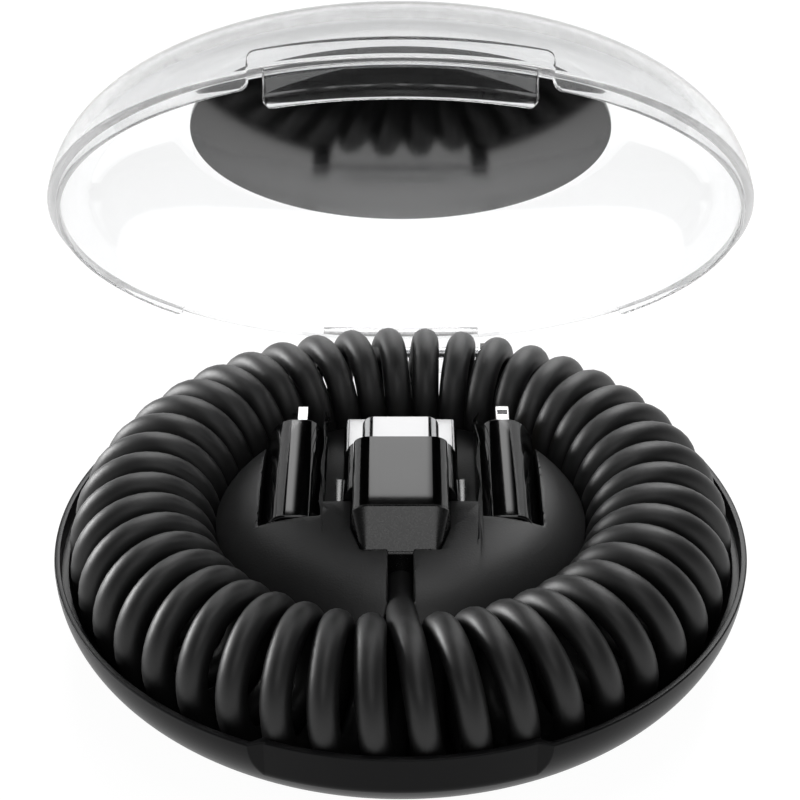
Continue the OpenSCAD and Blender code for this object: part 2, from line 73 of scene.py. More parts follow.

# %% [markdown]
# Every surface below is a grid of points: rows run one way over it and columns the other.
# One helper lists the quads between neighbouring points, and one turns points and faces into
# an object that rides on a body of the frame and takes the finish that it is given.

# %% Helpers for grids of points
def grid_faces(rows, cols, wrap_rows=False, wrap_cols=False):
    """Quads between neighbouring points of a rows by cols grid, four indices each."""
    i = np.arange(rows if wrap_rows else rows - 1)[:, None]
    j = np.arange(cols if wrap_cols else cols - 1)[None, :]
    next_i = (i + 1) % rows
    next_j = (j + 1) % cols
    quad = np.broadcast_arrays(i * cols + j, i * cols + next_j,
                               next_i * cols + next_j, next_i * cols + j)
    return np.stack(quad, axis=-1).reshape(-1, 4).tolist()


def turn_outwards(mesh):
    """Turns every face round when the closed mesh measures a negative volume."""
    shape = bmesh.new()
    shape.from_mesh(mesh)
    if shape.calc_volume(signed=True) < 0:
        bmesh.ops.reverse_faces(shape, faces=shape.faces)
        shape.to_mesh(mesh)
    shape.free()


def shade_smooth(mesh, sharp):
    """Smooth shading, with a crisp edge where two faces meet at more than the sharp angle."""
    mesh.polygons.foreach_set("use_smooth", np.ones(len(mesh.polygons), bool))
    mesh.set_sharp_from_angle(angle=math.radians(sharp))


def make_piece(name, points, faces, material, body, replaces=(), sharp=35):
    """Points in millimetres and faces as lists of indices become one smooth object."""
    mesh = bpy.data.meshes.new(name)
    mesh.from_pydata((np.asarray(points, float).reshape(-1, 3) * MM).tolist(), [], faces)
    turn_outwards(mesh)
    shade_smooth(mesh, sharp)
    mesh.update()
    mesh.materials.append(material)
    piece = bpy.data.objects.new(name, mesh)
    bpy.context.scene.collection.objects.link(piece)
    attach(piece, body)
    if replaces:
        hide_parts(*replaces)
    return piece


def closed_faces(rows, cols):
    """Faces of a tube of rings with a flat cap on its first and on its last ring."""
    last = (rows - 1) * cols
    caps = [list(range(cols))[::-1], list(range(last, last + cols))]
    return grid_faces(rows, cols, wrap_cols=True) + caps


# %% [markdown]
# Every finish is one Principled shader, because the real parts are plain mouldings and
# pressings without a pattern. What tells them apart is how wide their highlights are, so each
# has its own roughness, and a fine noise on Object coordinates that roughens it unevenly and
# raises a grain too small to see as such. A painted picture would show its pixels close up.

# %% Helpers for materials
def add_node(tree, kind, **values):
    """A new node; names of inputs with spaces are written with underscores."""
    node = tree.nodes.new(kind)
    for key, value in values.items():
        if key.replace("_", " ") in node.inputs:
            node.inputs[key.replace("_", " ")].default_value = value
        else:
            setattr(node, key, value)
    return node


def new_material(name, **sockets):
    """A Principled shader whose sockets are set by name, with spaces written as underscores."""
    material = bpy.data.materials.new(name)
    material.use_nodes = True
    shader = material.node_tree.nodes["Principled BSDF"]
    for socket, value in sockets.items():
        shader.inputs[socket.replace("_", " ")].default_value = value
    return material


def grained(name, colour, roughness, spread, scale, depth, strength, **sockets):
    """A material with its grain: a noise drives a bump of a depth in metres, and moves the
    roughness between roughness - spread and roughness + spread."""
    material = new_material(name, Base_Color=(*colour, 1), Roughness=roughness, **sockets)
    tree = material.node_tree
    shader = tree.nodes["Principled BSDF"]
    where = add_node(tree, "ShaderNodeTexCoord")
    noise = add_node(tree, "ShaderNodeTexNoise", Scale=scale, Detail=2.0)
    bump = add_node(tree, "ShaderNodeBump", Strength=strength, Distance=depth)
    level = add_node(tree, "ShaderNodeMapRange",
                     To_Min=roughness - spread, To_Max=roughness + spread)
    tree.links.new(where.outputs["Object"], noise.inputs["Vector"])
    tree.links.new(noise.outputs["Fac"], bump.inputs["Height"])
    tree.links.new(bump.outputs["Normal"], shader.inputs["Normal"])
    tree.links.new(noise.outputs["Fac"], level.inputs["Value"])
    tree.links.new(level.outputs["Result"], shader.inputs["Roughness"])
    return material


# %% Finishes
BLACK = (0.0015, 0.0015, 0.0016)
DARK = (0.008, 0.008, 0.0082)
rubber = grained("cable_rubber", DARK, 0.47, 0.05, 2600, 0.000012, 0.5)
satin = grained("base_plastic", (0.008, 0.008, 0.0085), 0.33, 0.03, 5200, 0.000004, 0.3,
                Specular_IOR_Level=0.1)
matte = grained("cradle_plastic", DARK, 0.43, 0.06, 4200, 0.00002, 0.8)
gloss = grained("gloss_housing", BLACK, 0.06, 0.01, 900, 0.000001, 0.2)
relief_rubber = grained("relief_rubber", (0.006, 0.006, 0.0062), 0.28, 0.04,
                        4200, 0.000004, 0.25)
plug_metal = grained("plug_metal", (0.5, 0.5, 0.505), 0.15, 0.03, 1800, 0.000002, 0.3, Metallic=1)
steel = grained("steel_pin", (0.6, 0.6, 0.61), 0.25, 0.05, 2400, 0.000002, 0.3, Metallic=1)
gold = grained("gold_contact", (0.85, 0.62, 0.25), 0.28, 0.05, 2400, 0.000002, 0.3, Metallic=1)
dark_insulator = grained("dark_insulator", (0.02, 0.02, 0.02), 0.45, 0.05, 3000, 0.000006, 0.4)
pale_insulator = grained("pale_insulator", (0.75, 0.75, 0.73), 0.45, 0.05, 3000, 0.000006, 0.4)
board = grained("circuit_board", (0.01, 0.12, 0.05), 0.4, 0.05, 3000, 0.000006, 0.4)
clear = grained("clear_lid", (0.99, 0.995, 1), 0.02, 0.01, 300, 0.000002, 0.2,
                Transmission_Weight=1.0, IOR=1.3, Alpha=0.86)
disc_gloss = grained("gloss_disc", BLACK, 0.12, 0.02, 700, 0.000003, 0.2)

# %% Finishes of the parts that stay as they were loaded
NODE_FINISH = {"hinge_pin": steel, "upper_plug_insulator": dark_insulator,
               "upper_plug_contacts": gold, "upper_plug_board": board,
               "lower_plug_insulator": pale_insulator, "lower_plug_contacts": gold,
               "lower_plug_relief": relief_rubber, "left_adapter_insulator": dark_insulator,
               "left_adapter_latches": steel}
for side in ("left", "right"):
    NODE_FINISH |= {side + "_adapter_board": board, side + "_adapter_socket": steel,
                    side + "_adapter_tongue": dark_insulator, side + "_adapter_contacts": gold}
for name, material in NODE_FINISH.items():
    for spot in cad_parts[name].material_slots:
        spot.material = material
print("loaded parts that keep their shape:", len(NODE_FINISH))

# %% [markdown]
# The cable is one long piece. It leaves the upper plug's relief, lies over the cradle, winds
# 43 and a half close turns round the inside of the bowl, and comes back under the cradle to
# the lower plug. The turns are a helix bent round a ring: its angle in the turn falls while
# its angle round the case grows, at 44 turns to the full circle. A curve with a bevel would
# make the same tube, but a grid of rings keeps its seam on one side and its points even.

# %% Cable route
# Millimetres and degrees. The powers say how sharply a squeeze sets in on the inner side.
CABLE_D = 3.1
RING_R = 26.87
RING_Z = 10.25
RING_TILT = 0.15
TURN_R = 6.7
INNER_SQUEEZE = 0.85
INNER_POWER = 3
TIP_SQUEEZE = 0.95
TIP_POWER = 1.5
TIP_ANGLE = 34.2
TIP_SPREAD = 8
TURNS_ROUND = 44
TURN_START = 118
TURN_END = -(43 * 360 + 120)
POINTS_A_TURN = 40
lead_start_route = [[0, -11.2, 12.3], [0, -12.5, 12.3], [0, -14, 12.55], [0, -15.5, 12.85],
                    [0, -17, 13.2], [0, -18.5, 13.7], [0, -19.7, 14.2], [0, -20.7, 14.8]]
lead_end_route = [[0, -5.6, 12], [0, -5.6, 11], [0, -5.65, 9.8], [0, -6.1, 7.6], [0, -7.3, 5.7],
                  [0, -9.1, 4.3], [0, -11.2, 3.65], [0, -14, 3.6], [0, -17, 3.6],
                  [-0.1, -19.5, 3.6], [-0.2, -21.2, 3.6]]


def coil_route():
    """Centre line of the coil: radius = ring + turn * cos(psi) + squeeze, and height = ring +
    tilt * (1 + cos(phi)) + turn * sin(psi), with psi the angle in the turn and phi round the case.
    On their inner side, where inward = (1 - cos(psi)) / 2 nears 1, the turns press on each other
    and on the adapters' tips: squeeze = inner * inward ** 3 + tip * exp(-from_tip ** 2) * inward
    ** 1.5, where from_tip is the distance in phi from the nearest tip."""
    count = round((TURN_START - TURN_END) / 360 * POINTS_A_TURN) + 1
    degrees = np.linspace(TURN_START, TURN_END, count)
    phi = np.radians((180 - degrees) / TURNS_ROUND)
    psi = np.radians(degrees)
    from_tip = (np.abs(np.degrees(phi) - 180) - TIP_ANGLE) / TIP_SPREAD
    inward = (1 - np.cos(psi)) / 2
    squeeze = INNER_SQUEEZE * inward ** INNER_POWER
    squeeze += TIP_SQUEEZE * np.exp(-from_tip ** 2) * inward ** TIP_POWER
    radius = RING_R + TURN_R * np.cos(psi) + squeeze
    height = RING_Z + RING_TILT * (1 + np.cos(phi)) + TURN_R * np.sin(psi)
    return np.stack([radius * np.sin(phi), -radius * np.cos(phi), height], axis=1)


def eased(points, passes, ends):
    """Averages each point with its neighbours, fully on the leads and less and less on the
    first stretch of the coil, so that the leads run smoothly into the turns."""
    points = points.copy()
    from_end = np.minimum(np.arange(1, len(points) - 1), np.arange(len(points) - 2, 0, -1))
    share = np.clip((2 * ends - from_end) / ends, 0, 1)[:, None]
    for _ in range(passes):
        middle = (points[:-2] + 2 * points[1:-1] + points[2:]) / 4
        points[1:-1] += share * (middle - points[1:-1])
    return points


def swept(path, across, radius, sides):
    """Rings of points round a path: centre + radius * (across * cos + up * sin)."""
    tangent = np.gradient(path, axis=0)
    tangent /= np.linalg.norm(tangent, axis=1, keepdims=True)
    across = across - (across * tangent).sum(axis=1, keepdims=True) * tangent
    across /= np.linalg.norm(across, axis=1, keepdims=True)
    up = np.cross(tangent, across)
    turn = np.linspace(0, 2 * np.pi, sides, endpoint=False)[None, :, None]
    return path[:, None] + radius * (across[:, None] * np.cos(turn) + up[:, None] * np.sin(turn))


SIDES, EASE_PASSES, EASE_POINTS = 20, 8, 12
route = np.concatenate([lead_start_route, coil_route(), lead_end_route[::-1]])
path = eased(route, EASE_PASSES, EASE_POINTS)
azimuth = np.arctan2(path[:, 0], -path[:, 1])
sideways = np.stack([np.cos(azimuth), np.sin(azimuth), np.zeros(len(path))], axis=1)
rings = swept(path, sideways, CABLE_D / 2, SIDES)
cable = make_piece("cable", rings, closed_faces(len(path), SIDES), rubber,
                   "case", ["cable_coil", "cable_lead_start", "cable_lead_end"])
cable_length = np.linalg.norm(np.diff(path, axis=0), axis=1).sum() * MM
print("cable length in metres:", round(cable_length, 3))

# %% [markdown]
# The lid is one clear moulding: a domed shell, a thin skirt that drops inside the base's lip,
# a latch tab with a finger pad above it, and a hinge barrel. In clear plastic every edge shows
# as a line, so the shell is a grid: one closed section, swept round the case, whose points
# move with the angle where the pad, the tab and the skirt begin and end. The lid is worked out
# shut, and then turned about its hinge to the angle at which it stands open.

# %% Sizes of the lid
# Millimetres and degrees. HINGE is the Y and Z of the axis. Other heights are measured up or
# down from the rim plane at RIM_Z, halves are half widths along the rim, and starts and ends
# are angles from the latch. A, B, P and SHIFT shape the dome's oval wall.
RIM_Z = 10.4
HINGE = np.array([38.2, 9.4])
LID_OPEN = 51.41
LID_A, LID_B, LID_P, LID_SHIFT = 36.95, 15.59, 2.6, 1.47
LID_WALL = 1.35
LID_TOP = 12
CEILING = LID_TOP - 1.45
LID_GAP = 0.1
PAD_R, PAD_TOP, PAD_HALF = 37.4, 2.4, 13.95
PAD_CORNER, PAD_END = 0.9, 0.5
EDGE_Z, EDGE_ROUND, EDGE_STEP = 0.35, 0.25, 0.04
TAB_DEPTH, TAB_HALF, TAB_CORNER = 3.7, 12.4, 0.9
TAB_THIN, TAB_THIN_END = 0.3, 0.12
TAB_MIDDLE, TAB_BACK = 36.5, 36.05
SKIRT_DEPTH, SKIRT_CORNER = 1.1, 0.9
SKIRT_START, SKIRT_END = 23.1, 135
RIM_R = 36.6
tab_edge = math.degrees(math.asin(TAB_HALF / RIM_R))
pad_edge = math.degrees(math.asin(PAD_HALF / RIM_R))
# Radius, and height above the rim plane: down the latch tab's outer wall, round its tip and
# its catch bead, and up its inner wall; then down, round and up the skirt.
TAB_PROFILE = np.array([
    [36.97, 0.1], [36.95, -0.05], [36.95, -0.9], [36.95, -1.8], [36.95, -2.6], [36.93, -2.95],
    [36.85, -3.15], [36.62, -3.5], [36.5, -3.65], [36.35, -3.7], [36.22, -3.66], [36.1, -3.5],
    [36.05, -3.3], [36.05, -2.7], [36.08, -2.5], [36.26, -2.25], [36.3, -2.1], [36.3, -1.2],
    [36.3, -0.3], [36.28, -0.03], [36.2, 0.08]])
SKIRT_PROFILE = np.array([
    [36.0, 0.1], [35.95, 0.05], [35.95, -0.4], [35.95, -0.8], [35.93, -0.92], [35.86, -0.99],
    [35.75, -1.0], [35.62, -0.99], [35.54, -0.93], [35.5, -0.8], [35.5, -0.3], [35.5, 0.1]])
# Millimetres along the rim, beside an edge, at which the grid has a column of points.
NEAR_EDGE = np.array([-0.9, -0.4, -0.15, -0.05, -0.01, 0.01, 0.03, 0.07, 0.12, 0.2, 0.32,
                      0.5, 0.75, 1, 1.3])


def rounded(distance, radius):
    """Height of a quarter circle at a distance from its edge: 0 at the edge, 1 past the radius."""
    t = np.clip(distance / radius, 0, 1)
    return np.sqrt(np.clip(1 - (1 - t) ** 2, 0, 1))


def rim_angles(edges):
    """Angles round the rim in degrees, close together beside each edge, and mirrored."""
    inward = np.degrees(NEAR_EDGE / RIM_R)
    half = [np.linspace(0, 180, 181)] + [edge + side * inward for edge, side in edges]
    half = np.unique(np.round(np.concatenate(half), 4))
    half = half[(half >= 0) & (half <= 180)]
    return np.concatenate([half, 360 - half[-2:0:-1]])


def opened(points):
    """Turns points of the shut lid about the hinge: y and z rotate by the opening angle."""
    turn = math.radians(-LID_OPEN)
    y = points[..., 1] - HINGE[0]
    z = points[..., 2] - HINGE[1]
    return np.stack([points[..., 0], HINGE[0] + y * math.cos(turn) - z * math.sin(turn),
                     HINGE[1] + y * math.sin(turn) + z * math.cos(turn)], axis=-1)


def round_the_axis(angle, radius, height):
    """Points at an angle from the front: (r sin, -r cos, z)."""
    angle = np.radians(angle)[:, None]
    return np.stack([radius * np.sin(angle), -radius * np.cos(angle), height], axis=-1)


def swept_section(angle, radius, height):
    """Points and faces of a section swept round the case, with its first and last ring capped."""
    rows, cols = radius.shape
    first = [i * cols for i in range(rows)]
    last = [i * cols + cols - 1 for i in range(rows)]
    print("grid of", rows, "by", cols)
    return (round_the_axis(angle, radius, height),
            grid_faces(rows, cols, wrap_rows=True) + [first, last[::-1]])


# %% The lid's section
def oval_radius(height, a, b, p):
    """Radius of a rounded wall: a * (1 - (height / b) ** p) ** (1 / p)."""
    return a * np.clip(1 - (np.clip(height, 0, b) / b) ** p, 0, 1) ** (1 / p)


DOME_SOFT, DOME_FLAT, DOME_ROLL, DOME_DOWN = 0.05, 0.58, 0.82, 1.3


def dome_line(a, b, top, count):
    """Radius and height down a dome. A soft minimum of the flat top and the oval wall rolls one
    over into the other: height = -soft * log(exp(-wall / soft) + exp(-top / soft))."""
    across = np.linspace(DOME_FLAT * a, DOME_ROLL * a, count)
    wall_z = b * (1 - (across / a) ** LID_P) ** (1 / LID_P) - LID_SHIFT
    height = -DOME_SOFT * np.log(np.exp(-wall_z / DOME_SOFT) + np.exp(-top / DOME_SOFT))
    down = (height[-1] - EDGE_Z) * (1 - np.linspace(0, 1, 3 * count)[1:]) ** DOME_DOWN + EDGE_Z
    return (np.concatenate([across, oval_radius(down + LID_SHIFT, a, b, LID_P)]),
            np.concatenate([height, down]))


def lid_section(angle):
    """Radius and height of the closed section at every angle, outer wall first."""
    front = np.minimum(angle, 360 - angle)[:, None]
    along = np.radians(1) * RIM_R
    past_tab = (tab_edge - front) * along
    past_pad = (pad_edge - front) * along
    past_skirt = np.minimum(front - SKIRT_START, SKIRT_END - front) * along

    outer_r, outer_z = dome_line(LID_A, LID_B, LID_TOP, 22)
    top = PAD_TOP - PAD_CORNER * (1 - rounded(past_pad, 1.0))
    pad_on = rounded(past_pad, PAD_END)
    outer_r = outer_r + rounded(top - outer_z, PAD_CORNER) * pad_on * (PAD_R - outer_r).clip(0)
    outer_z = np.broadcast_to(outer_z, outer_r.shape)

    pad_bottom = LID_A - EDGE_STEP + (PAD_R - LID_A + EDGE_STEP) * pad_on
    roll = np.linspace(0, np.pi / 2, 6)[1:]
    edge_r = pad_bottom - EDGE_ROUND * (1 - np.cos(roll))
    edge_z = np.broadcast_to(EDGE_Z - EDGE_ROUND * np.sin(roll), edge_r.shape)

    tab_on = (past_tab > 0).astype(float)
    depth = TAB_DEPTH - TAB_CORNER * (1 - rounded(past_tab, TAB_CORNER))
    thick = 1 - TAB_THIN * (1 - rounded(past_tab, TAB_THIN_END))
    rim_out = edge_r[:, -1:]
    idle_r = rim_out + (TAB_BACK - rim_out) * np.linspace(0, 1, len(TAB_PROFILE))
    tab_r = TAB_MIDDLE + (TAB_PROFILE[:, 0] - TAB_MIDDLE) * thick
    tab_r = idle_r + (tab_r - idle_r) * tab_on
    tab_z = LID_GAP + (np.maximum(TAB_PROFILE[:, 1], -depth) - LID_GAP) * tab_on

    drop = SKIRT_DEPTH * rounded(past_skirt, SKIRT_CORNER)
    skirt_z = np.maximum(SKIRT_PROFILE[:, 1], LID_GAP - drop)
    skirt_r = np.broadcast_to(SKIRT_PROFILE[:, 0], skirt_z.shape)

    inner = dome_line(LID_A - LID_WALL, LID_B - LID_WALL - 0.05, CEILING, 20)
    inner_r, inner_z = (np.broadcast_to(v[::-1], (len(angle), len(v))) for v in inner)
    radius = np.concatenate([outer_r, edge_r, tab_r, skirt_r, inner_r], axis=1)
    height = np.concatenate([outer_z, edge_z, tab_z, skirt_z, inner_z], axis=1)
    return radius, height


# %% Lid shell
lid_angles = rim_angles([(tab_edge, -1), (pad_edge, -1), (SKIRT_START, 1), (SKIRT_END, -1)])
lid_r, lid_z = lid_section(lid_angles)
lid_grid, lid_faces = swept_section(lid_angles, lid_r, lid_z + RIM_Z)
lid = make_piece("clear_lid", opened(lid_grid), lid_faces, clear, "lid", ["lid_dome"])

# %% [markdown]
# A hinge barrel runs along the lid's back edge, joined to the rim by a short leaf. Both are
# prisms along X. They are merged with the shell by a Boolean, so that light passes from one
# to the other with no wall between, and the pin's bore is cut the same way.

# %% Hinge barrel and bore
def prism(outline, axis, start, end):
    """Rings of a prism along an axis, 0 for X to 2 for Z, from an outline of the other two."""
    return np.stack([np.insert(np.asarray(outline, float), axis, place, axis=1)
                     for place in (start, end)])


def circle(centre, radius, count):
    """Points of a circle as (u, v) pairs."""
    turn = np.linspace(0, 2 * np.pi, count, endpoint=False)
    return np.column_stack([centre[0] + radius * np.cos(turn), centre[1] + radius * np.sin(turn)])


def cut_or_join(piece, rings, operation):
    """Applies one Boolean to a piece, with a closed helper solid made of rings of points in
    millimetres, which is then removed."""
    mesh = bpy.data.meshes.new("helper")
    mesh.from_pydata((rings.reshape(-1, 3) * MM).tolist(), [], closed_faces(*rings.shape[:2]))
    turn_outwards(mesh)
    helper = bpy.data.objects.new("helper", mesh)
    bpy.context.scene.collection.objects.link(helper)
    step = piece.modifiers.new("boolean", "BOOLEAN")
    step.operation = operation
    step.solver = "MANIFOLD"
    step.object = helper
    bake_modifiers(piece)
    bpy.data.objects.remove(helper)


def bake_modifiers(piece):
    """Replaces a piece's mesh by what its modifiers make of it."""
    seen = piece.evaluated_get(bpy.context.evaluated_depsgraph_get())
    mesh = bpy.data.meshes.new_from_object(seen)
    piece.modifiers.clear()
    piece.data = mesh


BARREL_R, BARREL_HALF, BORE_R = 2.4, 9.4, 0.65
leaf = [[35.6, RIM_Z + 0.15], [35.6, RIM_Z + 1.1], [36.4, RIM_Z + 1.7], [38.9, RIM_Z + 0.9],
        [38.2, RIM_Z - 1], [36.2, RIM_Z + 0.15]]
barrel = prism(circle(HINGE, BARREL_R, 72), 0, -BARREL_HALF, BARREL_HALF)
bore = prism(circle(HINGE, BORE_R, 40), 0, -BARREL_HALF - 1, BARREL_HALF + 1)
cut_or_join(lid, opened(barrel), "UNION")
cut_or_join(lid, opened(prism(leaf, 0, -BARREL_HALF, BARREL_HALF)), "UNION")
cut_or_join(lid, opened(bore), "DIFFERENCE")
shade_smooth(lid.data, 35)
print("lid faces:", len(lid.data.polygons))

# %% [markdown]
# A thin glossy disc is fixed under the lid's ceiling. It is round, so its surface is a short
# profile turned about the case's axis, with a small round along its lower edge.

# %% Lid disc
DISC_R, DISC_T, DISC_EDGE = 22.45, 0.6, 0.15
DISC_GAP = 0.02


def turned(profile, count):
    """Rings of a turned shape, one for each (radius, height) pair of the profile."""
    turn = np.linspace(0, 2 * np.pi, count, endpoint=False)
    radius, height = np.asarray(profile, float).T[..., None]
    return np.stack([radius * np.sin(turn), -radius * np.cos(turn), height + 0 * turn], axis=-1)


def round_edge(corner, towards_r, towards_z, radius, steps=4):
    """Points of a quarter circle in place of a corner of a (radius, height) profile."""
    t = np.linspace(0, np.pi / 2, steps + 1)
    return np.column_stack([corner[0] + towards_r * radius * (1 - np.cos(t)),
                            corner[1] + towards_z * radius * (1 - np.sin(t))])


disc_low = RIM_Z + CEILING - DISC_T - DISC_GAP
disc_high = RIM_Z + CEILING - DISC_GAP
disc_profile = np.concatenate([round_edge((DISC_R, disc_low), -1, 1, DISC_EDGE)[::-1],
                               round_edge((DISC_R, disc_high), -1, -1, 0.05)])
disc_rings = opened(turned(disc_profile, 240))
make_piece("disc", disc_rings, closed_faces(*disc_rings.shape[:2]), disc_gloss,
           "lid", ["lid_disc"])
print("disc across in millimetres:", 2 * DISC_R)

# %% [markdown]
# The base is a moulded bowl. Its rim has a thin outer lip with a ledge inside it, where the
# lid's skirt drops in. At the front the lip steps back to a thin catch wall for the latch, and
# at the back the wall is lowered for the hinge barrel. Again the section is swept round the
# case, with radii and heights that change with the angle, so every edge can have its own
# small round.

# %% Sizes of the base
# The recess is the front stretch for the latch, between the two angles of its outer wall, and
# LIP_FULL and LIP_BLOCK are the angles between which the lip steps back to the catch wall.
CASE_R = 36.75
BOWL_B, BOWL_SHIFT, BOWL_P = 15.07, 0.265, 2.3
CAVITY_A, CAVITY_B = CASE_R - 1.35, 13.6
FLOOR_Z = 2
FOOT_R, FOOT_EDGE = 27.5, 0.35
LIP_R, LEDGE_DEPTH = CASE_R - 0.65, 1.7
RECESS_R, RECESS_DEPTH = 35.85, 4.2
CATCH_R_IN, CATCH_DROP = 35.2, 0.05
RECESS_OUT, RECESS_IN = 23.2, 21.2
LIP_FULL, LIP_BLOCK = 23.1, 21.9
NOTCH_HALF, NOTCH_DEPTH = 9.7, 6
RIM_ROUND, LIP_ROUND, LEDGE_ROUND = 0.16, 0.09, 0.12
WALL_POWER = 0.8
notch_edge = 180 - math.degrees(math.asin(NOTCH_HALF / RIM_R))


def ramp(value, low, high, at_low, at_high):
    """A straight ramp between two levels, as value goes from low to high."""
    return at_low + (at_high - at_low) * np.clip((value - low) / (high - low), 0, 1)


# %% The base's section
def bowl_section(angle):
    """Radius and height of the closed section at every angle, from the foot up over the rim
    and down the cavity to its floor."""
    front = np.minimum(angle, 360 - angle)[:, None]
    past_notch = (front - notch_edge) * math.radians(1) * RIM_R
    out_r = ramp(front, RECESS_IN, RECESS_OUT, RECESS_R, CASE_R)
    lip_r = ramp(front, LIP_BLOCK, LIP_FULL, CATCH_R_IN, LIP_R)
    top = RIM_Z - ramp(front, RECESS_IN - 0.3, RECESS_IN, CATCH_DROP, 0)

    wall_down = RIM_Z - FOOT_EDGE
    lower = wall_down - (wall_down - RECESS_DEPTH) * np.linspace(0, 1, 22) ** WALL_POWER
    upper = np.linspace(RECESS_DEPTH - 0.01, 0.22, 14)
    wall_r = oval_radius(np.concatenate([lower, upper]) + BOWL_SHIFT, CASE_R, BOWL_B, BOWL_P)
    wall_r = np.broadcast_to(wall_r, (len(angle), len(wall_r))).copy()
    wall_r[:, len(lower):] = np.minimum(wall_r[:, len(lower):], out_r)
    wall_z = np.broadcast_to(RIM_Z - np.concatenate([lower, upper]), wall_r.shape)

    turn = np.linspace(0, np.pi / 2, 5)
    rim_r = np.concatenate([out_r - RIM_ROUND * (1 - np.cos(turn)),
                            lip_r + LIP_ROUND * (1 - np.sin(turn))], axis=1)
    rim_z = np.concatenate([top - RIM_ROUND * (1 - np.sin(turn)),
                            top - LIP_ROUND * (1 - np.cos(turn))], axis=1)

    ledge_r = np.minimum(oval_radius(LEDGE_DEPTH, CAVITY_A, CAVITY_B, BOWL_P), lip_r - 0.02)
    down_r = np.concatenate([lip_r, lip_r - 0.05 * (lip_r - ledge_r),
                             ledge_r + LEDGE_ROUND * (1 - np.sin(turn))], axis=1)
    down = np.concatenate([[-0.04, 0], LEDGE_ROUND * (1 - np.cos(turn))])
    down_z = np.broadcast_to(RIM_Z - LEDGE_DEPTH - down, down_r.shape)

    depth = np.linspace(LEDGE_DEPTH + 0.2, RIM_Z - FLOOR_Z, 26)
    cavity_r = np.minimum(oval_radius(depth, CAVITY_A, CAVITY_B, BOWL_P), ledge_r)
    cavity_z = np.broadcast_to(RIM_Z - depth, cavity_r.shape)
    foot = np.array([[FOOT_R - 0.6, FOOT_R, FOOT_R + 0.7], [0, 0.02, 0.12]])
    foot_r, foot_z = (np.broadcast_to(v, (len(angle), len(v))) for v in foot)
    radius = np.concatenate([foot_r, wall_r, rim_r, down_r, cavity_r], axis=1)
    height = np.concatenate([foot_z, wall_z, rim_z, down_z, cavity_z], axis=1)

    low = np.where(past_notch > 0, RIM_Z - NOTCH_DEPTH, RIM_Z + 1)
    cut = height > low
    inside = np.arange(height.shape[1])[None, :] > foot.shape[1] + wall_r.shape[1] + 2
    low_out = oval_radius(NOTCH_DEPTH + BOWL_SHIFT, CASE_R, BOWL_B, BOWL_P)
    low_in = oval_radius(NOTCH_DEPTH, CAVITY_A, CAVITY_B, BOWL_P)
    radius = np.where(cut, np.where(inside, low_in, low_out), radius)
    return radius, np.minimum(height, low)


# %% Base shell
base_angles = rim_angles([(RECESS_IN, -1), (RECESS_OUT, -1), (LIP_BLOCK, 1), (LIP_FULL, 1),
                          (notch_edge, 1)])
base_grid, base_faces = swept_section(base_angles, *bowl_section(base_angles))
base = make_piece("base_bowl", base_grid, base_faces, satin,
                  "case", ["base_shell"])

# %% [markdown]
# Two ears at the back hold the hinge's steel pin between them. They grow out of the bowl's
# rim, so they are joined to it by a Boolean, and the pin's bore is then cut through both.

# %% Hinge ears
EAR_IN, EAR_W, EAR_R, EAR_BORE_R, EAR_BORE_END = BARREL_HALF + 0.3, 2.3, 1.25, 0.6, 13
ear_sweep = np.radians(np.linspace(60, -60, 14))
ear_outline = np.concatenate([
    [[34.4, HINGE[1] - 2.6], [34.4, RIM_Z - 0.1], [37.0, RIM_Z - 0.1]],
    np.column_stack([HINGE[0] + EAR_R * np.cos(ear_sweep), HINGE[1] + EAR_R * np.sin(ear_sweep)]),
    [[36.4, HINGE[1] - 2.3]]])
for side in (-1, 1):
    ear = prism(ear_outline, 0, side * EAR_IN, side * (EAR_IN + EAR_W))
    cut_or_join(base, ear, "UNION")
pin_bore = prism(circle(HINGE, EAR_BORE_R, 40), 0, -EAR_BORE_END, EAR_BORE_END)
cut_or_join(base, pin_bore, "DIFFERENCE")
shade_smooth(base.data, 35)
print("base faces:", len(base.data.polygons))

# %% [markdown]
# The cradle is a soft moulded mushroom whose crown is cut by pockets: a deep one for each
# adapter, a stepped one for the double plug, and a slot for the cable. It is turned as a fine
# solid, the pockets are cut with Booleans, and a Bevel rounds every cut edge a little, as a
# moulding's edges are.

# %% Cradle
# Floors, tops and names in ZR are heights above the rim plane. UP is the upper plug, which
# sits in its pocket with some PLAY, and FAR is past everything, for cuts that go right out.
CRADLE_R, CRADLE_TOP, CRADLE_EDGE = 19.65, 6.65, 1.9
CRADLE_P, CRADLE_Q = 4.6, 0.85    # crown height = (1 - (radius / CRADLE_R) ** P) ** Q
UNDER_B, UNDER_P, UNDER_CROWD = 12.5, 1.75, 1.4
STEP_Y = -3.3
RECESS_FLOOR, SEAT_FLOOR, SEAT_HALF = 1.2, 0.85, 6.1
POCKET_IN, POCKET_OUT, POCKET_Y, POCKET_FLOOR = 8.3, 14.8, -5.7, -3.95
SLOT_R, SLOT_ZR, SLOT_LIP, SLOT_NECK = 1.7, 2.85, 1.27, 1.13
THROAT_HALF, THROAT_FLOOR, CHANNEL_END, CHANNEL_TOP = 3.3, 1.25, -3.85, 1.3
UP_Y, UP_HALF, UP_BOTTOM, UP_TOP, UP_FLAT, UP_DROP = (-7.7, 4.87), 5, 6.25, 9.2, 3.28, 0.9
RELIEF_Y, RELIEF_HALF, RELIEF_LOW, RELIEF_HIGH = -11.2, 4.05, 0.3, 5.65
PLAY = 0.05
FAR = 30
FLAT_ANGLE, CRADLE_ROUND = 0.6, 0.22


def block(x0, x1, y0, y1, z0, z1):
    """Rings of a box between two corners."""
    return prism([[x0, y0], [x1, y0], [x1, y1], [x0, y1]], 2, z0, z1)


